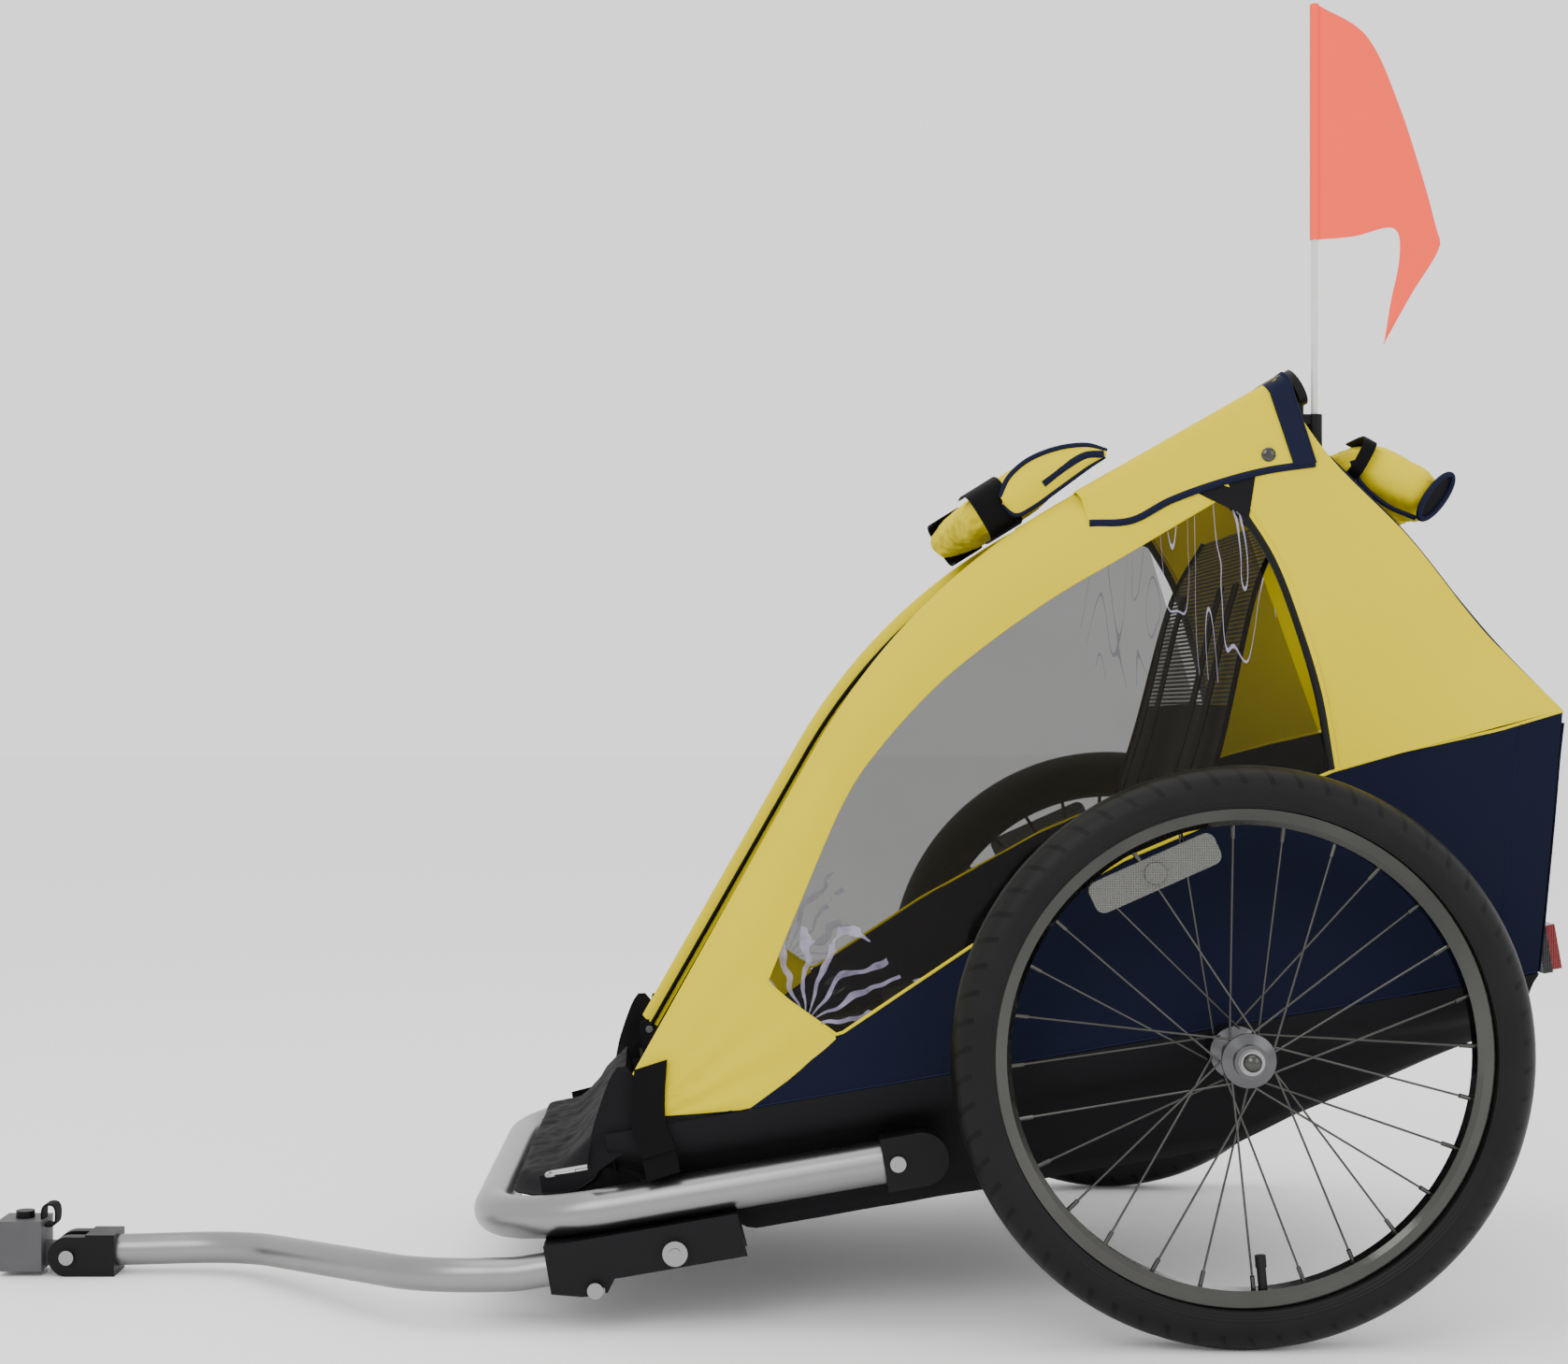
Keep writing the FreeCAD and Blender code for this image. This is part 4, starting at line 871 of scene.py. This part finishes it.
def rolls():
    """The rolled front and rear covers, their straps and their bound ends."""
    (x, z), (out_x, out_z) = hoop_at(len(HOOP) - 1 - 255)
    front, front_angle = (x + out_x * 36, z + out_z * 36), math.radians(22)
    rear, rear_angle = (258, 470), math.radians(-38)
    for name, centre, angle, wide, high, half, node, seed in (
            ("front_roll_bundle", front, front_angle, 108, 46, 214, "front_roll", 0.0),
            ("rear_roll_bundle", rear, rear_angle, 100, 52, 230, "rear_roll", 4.0)):
        shape = Shape().add(bundle_rows(centre, angle, wide, high, half, seed), around=True)
        piece = make(name, shape, "yellow_fabric", "front_hoop_body", 0, [node], sharp=70)
    straps = Shape()
    end_strap(straps, front, front_angle, -26, 34, 46, 214)
    end_strap(straps, rear, rear_angle, -40, 12, 38, 230)
    piece = make("roll_straps", straps, "webbing", "front_hoop_body", 1.6)
    tongues(front, front_angle)
    rear_ends(rear, rear_angle)


def tongues(centre, angle):
    """The bound tongue of cloth that lies back over each end of the front roll."""
    low = smooth([(-18, -6), (-10, -19), (8, -17), (36, -8), (66, 2), (84, 7)], 40)
    top = smooth([(-18, 0), (-6, 15), (16, 25), (44, 27), (70, 22), (87, 11)], 40)
    cloth, edging, lining = Shape(), Shape(), Shape()
    tilt = angle - math.radians(14)
    for side in (-1, 1):
        rows = []
        for start, end in zip(low, top):
            row = []
            for share in np.linspace(0, 1, 14):
                out = 219 + 5 * math.sin(math.pi * share) + wrinkle(start[0], share * 30, 22, 21)
                row.append(on_roll(centre, tilt, *between(start, end, share), side * out))
            rows.append(row)
        cloth.add(rows)
        edging.add_tube([row[0] for row in rows], 4.5, 4.5, across=(0, 1, 0), sides=10)
        edging.add_tube([row[-1] for row in rows], 5.5, 5.5, across=(0, 1, 0), sides=10)
        slit = smooth([(22, 0), (44, 8), (66, 13), (83, 9)], 24)
        lining.add_tube([on_roll(centre, tilt, u, v, side * 223.5) for u, v in slit], 3, 7, sides=10)
    piece = make("front_roll_tongues", cloth, "yellow_fabric", "front_hoop_body", 1.2)
    make("front_roll_edging", edging, "navy_binding", "front_hoop_body")
    make("front_roll_lining", lining, "navy_binding", "front_hoop_body")


def rear_ends(centre, angle):
    """The bound mouth at each end of the rear roll, and the binding along its lower edge."""
    edging, mouth = Shape(), Shape()
    for side in (-1, 1):
        ring = []
        for turn in np.linspace(0, 2 * math.pi, 37)[:-1]:
            ring.append(on_roll(centre, angle, 36 + 9 * math.cos(turn) + 3 * math.sin(turn),
                                24 * math.sin(turn), side * (226 - 6 * math.cos(turn))))
        edging.add_tube(ring, 5.5, 5.5, across=(0, 1, 0), sides=10, closed=True)
        mouth.close([point + Vector((0, -side * 0.001, 0)) for point in ring])
        lower = smooth([(-46, -6), (-30, -20), (0, -27), (30, -25)], 30)
        edging.add_tube([on_roll(centre, angle, u, v, side * 221) for u, v in lower], 4.5, 4.5, sides=10)
    make("rear_roll_edging", edging, "navy_binding", "front_hoop_body")
    make("rear_roll_mouths", mouth, "black_fabric", "front_hoop_body")


# Tub, seat and rear

TUB_BOTTOM = [(-552, -22), (-440, -100), (0, -100), (60, -80), (268, -32), (281, 16)]
TUB_TOP = 16.5
# Half of a section across the tub: a distance from the middle, and the share of the drop reached there.
TUB_SECTION = [(303, 0), (303.4, 0.12), (303, 0.3), (297, 0.45), (284, 0.56), (275, 0.66), (270, 0.8),
               (262, 0.92), (248, 0.985), (225, 1.0), (180, 1.0), (120, 1.0), (60, 1.0), (0, 1.0)]


def tub():
    """The cabin's cloth floor: it hangs between the rails, with rounded lower corners."""
    rows = []
    for x, bottom in spaced(TUB_BOTTOM, 110):
        height = TUB_TOP - bottom
        wall = 0.6 * min(height, 62)
        half = []
        for y, share in TUB_SECTION:
            drop = share * min(height, 62)
            if share >= 0.6:
                drop = mixed(wall, height, share / 0.4 - 1.5)
            sag = 1.6 * math.sin(math.pi * min(1, (303 - y) / 303)) + 1.4 * wrinkle(x, y, 70, 11)
            half.append((y, TUB_TOP - drop - (sag if share > 0.9 else 0)))
        left = [body_point(x, -y, z) for y, z in half]
        right = [body_point(x, y, z) for y, z in half[::-1][1:]]
        rows.append(left + right)
    piece = make("tub_cloth", Shape().add(rows), "black_fabric", "frame", 1.6, ["floor_tub"])
    deck()


def inside_bumper(x):
    """Half the room between the front bumper's legs, which narrows round its bends."""
    bend = 90
    return 185 + math.sqrt(max(bend ** 2 - min(x + 562, 0) ** 2, 0))


def deck():
    """The crumpled cloth between the bumper's legs: flat under the hook, rising to the cabin's foot."""
    low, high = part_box("snap_hook")
    hook = (low + high) / 2
    rows = []
    for along in np.linspace(0, 1, 40):
        x = mixed(-651, -553, along)
        half = inside_bumper(x)
        row = []
        for across in np.linspace(-1, 1, 90):
            y = across * half
            edge = ease((abs(across) - 0.86) / 0.14) * (1 - ease((along - 0.8) / 0.2))
            hem = max(edge, ease((0.12 - along) / 0.12))
            rise = 37 * ease((along - 0.4) / 0.6) * (0.75 + 0.25 * ease((abs(y) - 150) / 120))
            fold = 3.2 * wrinkle(x, y, 30, 13) + 1.8 * wrinkle(x, y, 10, 3)
            point = body_point(x, y, -20 + rise + fold * (1 - 0.6 * hem) - 15 * hem)
            near = math.exp(-((point.x - hook.x) / 0.05) ** 4 - ((point.y - hook.y) / 0.03) ** 4)
            row.append(point.lerp(body_point(x, y, min(-24.5, -20 - 15 * hem)), near))
        rows.append(row)
    for height in (0, -12, -24):
        rows.append([body_point(-550.5, y, height)
                     for y in np.linspace(-1, 1, 90) * inside_bumper(-550)])
    piece = make("deck_cloth", Shape().add(rows), "black_fabric", "frame", 1.6)


def gusset(shape, side):
    """The crumpled black cloth that joins the band's foot to the deck."""
    lower = smooth([(-574, -20), (-552, -8), (-520, 4), (-470, 10), (-426, 16)], 26)
    upper = smooth([(-571, -2), (-558, 32), (-529, 74), (-502, 42), (-424, 17)], 26)
    rows = []
    for start, end in zip(lower, upper):
        row = []
        for share in np.linspace(0, 1, 10):
            inward = 3 + 12 * (1 - share) * ease((-520 - start[0]) / 60)
            depth = inward - 2.2 * wrinkle(start[0] + share * 30, share * 40, 16, 5)
            row.append(side_point(*between(start, end, share), depth, side))
        rows.append(row)
    shape.add(rows)


def skirt(shape, side):
    """The hem that hangs from the deck and the tub's front corner, behind the bumper's leg."""
    rows = []
    for x in np.linspace(-620, -493, 28):
        top = -18 if x < -552 else mixed(-18, -60, (x + 552) / 60)
        rows.append([body_point(x, side * (inside_bumper(x) - 5 + 2 * wrinkle(x, z, 18, 23)), z)
                     for z in np.linspace(top, -64, 7)])
    shape.add(rows)


def front_straps(shape, side):
    """A wide webbing loop that stands up from the sill, with its tail tucked back."""
    line = [(-507, -28), (-508, -6), (-512, 16), (-509, 40), (-502, 70)]
    for depth, drop in ((-2.2, 0), (-4.6, 16)):
        rows = []
        for x, z in smooth(line, 26):
            if z < -28 + drop:
                continue
            bend = 2 * math.sin((z + 28) / 98 * math.pi)
            rows.append([side_point(x + width * 15, z + width * 2, depth - 0.3 * bend, side)
                         for width in WEB_ROW])
        shape.add(rows)


def foot_details():
    """The cloth and the webbing at the foot of the band."""
    piece = make("gussets", on_both_sides(gusset), "black_fabric", "frame", 1.2)
    fold_down(piece)
    piece = make("deck_skirts", on_both_sides(skirt), "black_fabric", "frame", 1.4)
    piece = make("front_strap_webbing", on_both_sides(front_straps), "webbing", "frame", 1.5,
                 ["front_strap"])
    fold_down(piece)


def seat_line(count):
    """Evenly spaced (x, z) points up the seat back."""
    return smooth([(-62, 50), (-4, 155), (51, 263), (110, 395), (156, 456)], count)


def seat_half_width(z):
    """Half the seat back's width at a height, clear of the leaning sides."""
    return min(258, 303 - (z + 4) * math.tan(LEAN) - 28)


def cushion():
    """A foam pad with a crowned top, pinched by a seam between its two places."""
    shape = Shape()
    rows = []
    for across in np.linspace(-1, 1, 57):
        pinch = 1 - 0.42 * math.exp(-(across / 0.05) ** 2)
        edge = (1 - abs(across) ** 10) ** 0.3
        row = []
        for turn in np.linspace(0, 2 * math.pi, 44, endpoint=False):
            c, s = math.cos(turn), math.sin(turn)
            u = bulge(c, 0.35) * 97 * (0.955 + 0.045 * edge)
            v = bulge(s, 0.6) * edge * (13 * pinch if s > 0 else 12)
            crown = 3 * (1 - (u / 98) ** 2) * pinch * edge if s > 0 else 0
            row.append(body_point(-172 + u, across * 261, 27 + v + crown))
        rows.append(row)
    shape.add(rows, around=True)
    shape.close(rows[0])
    shape.close(rows[-1])
    piece = make("seat_cushion_pad", shape, "black_fabric", "frame", 0, ["seat_cushion"], 1)
    seam = Shape()
    for edge in (-1, 1):
        path = [body_point(-172 + u, edge * 252, 29) for u in np.linspace(-88, 88, 20)]
        seam.add_tube(path, 3, sides=8)
    make("seat_cushion_piping", seam, "yellow_fabric", "frame")


def seat_back():
    """The seat back: black cloth below, an open net above, and an edging up both sides."""
    line = seat_line(60)
    for name, finish, first, last, flat in (("seat_back_cloth", "black_fabric", 0, 36, (0.52, 0.30)),
                                            ("seat_back_net", "net", 35, 60, (0.52, 0.20))):
        rows = []
        for x, z in line[first:last]:
            half = seat_half_width(z)
            row = []
            for across in np.linspace(-1, 1, 40):
                back = x + 4 + 7 * math.cos(math.pi * across / 2) ** 2 * math.sin(z / 150)
                row.append(body_point(back, across * half, z + 1.2 * wrinkle(across * 200, z, 50, 15)))
            rows.append(row)
        replaced = ["seat_back"] if name == "seat_back_cloth" else []
        piece = make(name, Shape().add(rows), finish, "frame",
                     1.4 if finish == "black_fabric" else 0, replaced)
        fold_down(piece)
    edging = Shape()
    for side in (-1, 1):
        edging.add_tube([body_point(x + 3, side * seat_half_width(z), z) for x, z in line], 8, 5, sides=10)
    fold_down(make("seat_back_edging", edging, "webbing", "frame"))


def harness():
    """Shoulder straps that lie down the seat back and run forward to the buckles."""
    straps = Shape()
    for middle in (-130, 130):
        for shoulder in (-35, 35):
            path = [(x - 6, middle + shoulder, z) for x, z in seat_line(40)[8:34]][::-1]
            path += [(-58, middle + shoulder * 0.7, 58), (-84, middle + shoulder * 0.35, 52)]
            path = smooth(path[::3] + [path[-1]], 44)
            rows = [[body_point(x, y + width * 12.5, z + 1.5 * math.sin(x / 14)) for width in WEB_ROW]
                    for x, y, z in path]
            straps.add(rows)
    piece = make("harness_webbing", straps, "webbing", "frame", 1.5, ["harness_straps"])
    fold_down(piece)


def rear_panel():
    """The navy panel across the back of the cabin."""
    rows = []
    for share in np.linspace(0, 1, 40):
        x, z = between((284, 18), (352, 228), share)
        half = 303 - z * math.tan(LEAN) - 1
        row = []
        for across in np.linspace(-1, 1, 60):
            belly = 2.5 * math.cos(math.pi * across / 2) * math.sin(math.pi * share)
            back = x - 0.5 + belly - 1.2 * wrinkle(across * 260, z, 80, 17)
            row.append(body_point(back, across * half, z))
        rows.append(row)
    piece = make("rear_panel_cloth", Shape().add(rows), "navy_fabric", "frame", 1.2,
                 ["rear_panel"])
    fold_down(piece)


# Flag and hitch strap

FLAG_Y = -215                   # the flag pole's plane


def flag():
    """The flag, which hangs from a sleeve on the pole and curls over."""
    top = smooth([(101, 1190), (147, 1160), (178, 1091), (208, 989), (212, 967), (188, 926), (162, 880)],
                 60)
    bottom = smooth([(101, 975), (134, 978), (170, 985), (176, 958), (168, 915), (161, 879)], 60)
    rows = []
    for i, (start, end) in enumerate(zip(top, bottom)):
        share = i / 59
        row = []
        for down in np.linspace(0, 1, 30):
            x, z = between(start, end, down)
            wave = 5 * share * math.sin(share * 9 + down * 1.5) + 3 * share * wrinkle(x, z, 60, 19)
            row.append(Vector((AXLE.x + x * MM, (FLAG_Y + wave) * MM, z * MM)))
        rows.append(row)
    piece = make("flag_cloth", Shape().add(rows), "coral_fabric", "flag_body", 0.6, ["flag"])
    line = [Vector((AXLE.x + 98 * MM, FLAG_Y * MM, z * MM)) for z in np.linspace(975, 1190, 12)]
    sleeve = Shape()
    sleeve.add_tube(line, 8.4, sides=16)
    make("flag_sleeve", sleeve, "coral_fabric", "flag_body")


def hitch_strap():
    """The safety strap, folded into a loop on top of the coupling."""
    low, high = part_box("safety_strap")
    centre, size = (low + high) / 2, high - low
    rows = []
    for turn in np.linspace(0, 2 * math.pi, 33):
        c, s = math.cos(turn), math.sin(turn)
        u = bulge(c, 0.7) * (size.x / 2 - 0.0012)
        v = bulge(s, 0.7) * (size.z / 2 - 0.0012)
        rows.append([centre + Vector((u, across * size.y / 2, v)) for across in np.linspace(-1, 1, 5)])
    piece = make("safety_strap_webbing", Shape().add(rows), "webbing", "coupling", 1.8,
                 ["safety_strap"])


set_stage()
set_camera()
finish_cad_nodes()
side_fabric()
side_trim()
roof()
rolls()
tub()
foot_details()
cushion()
seat_back()
harness()
rear_panel()
flag()
hitch_strap()
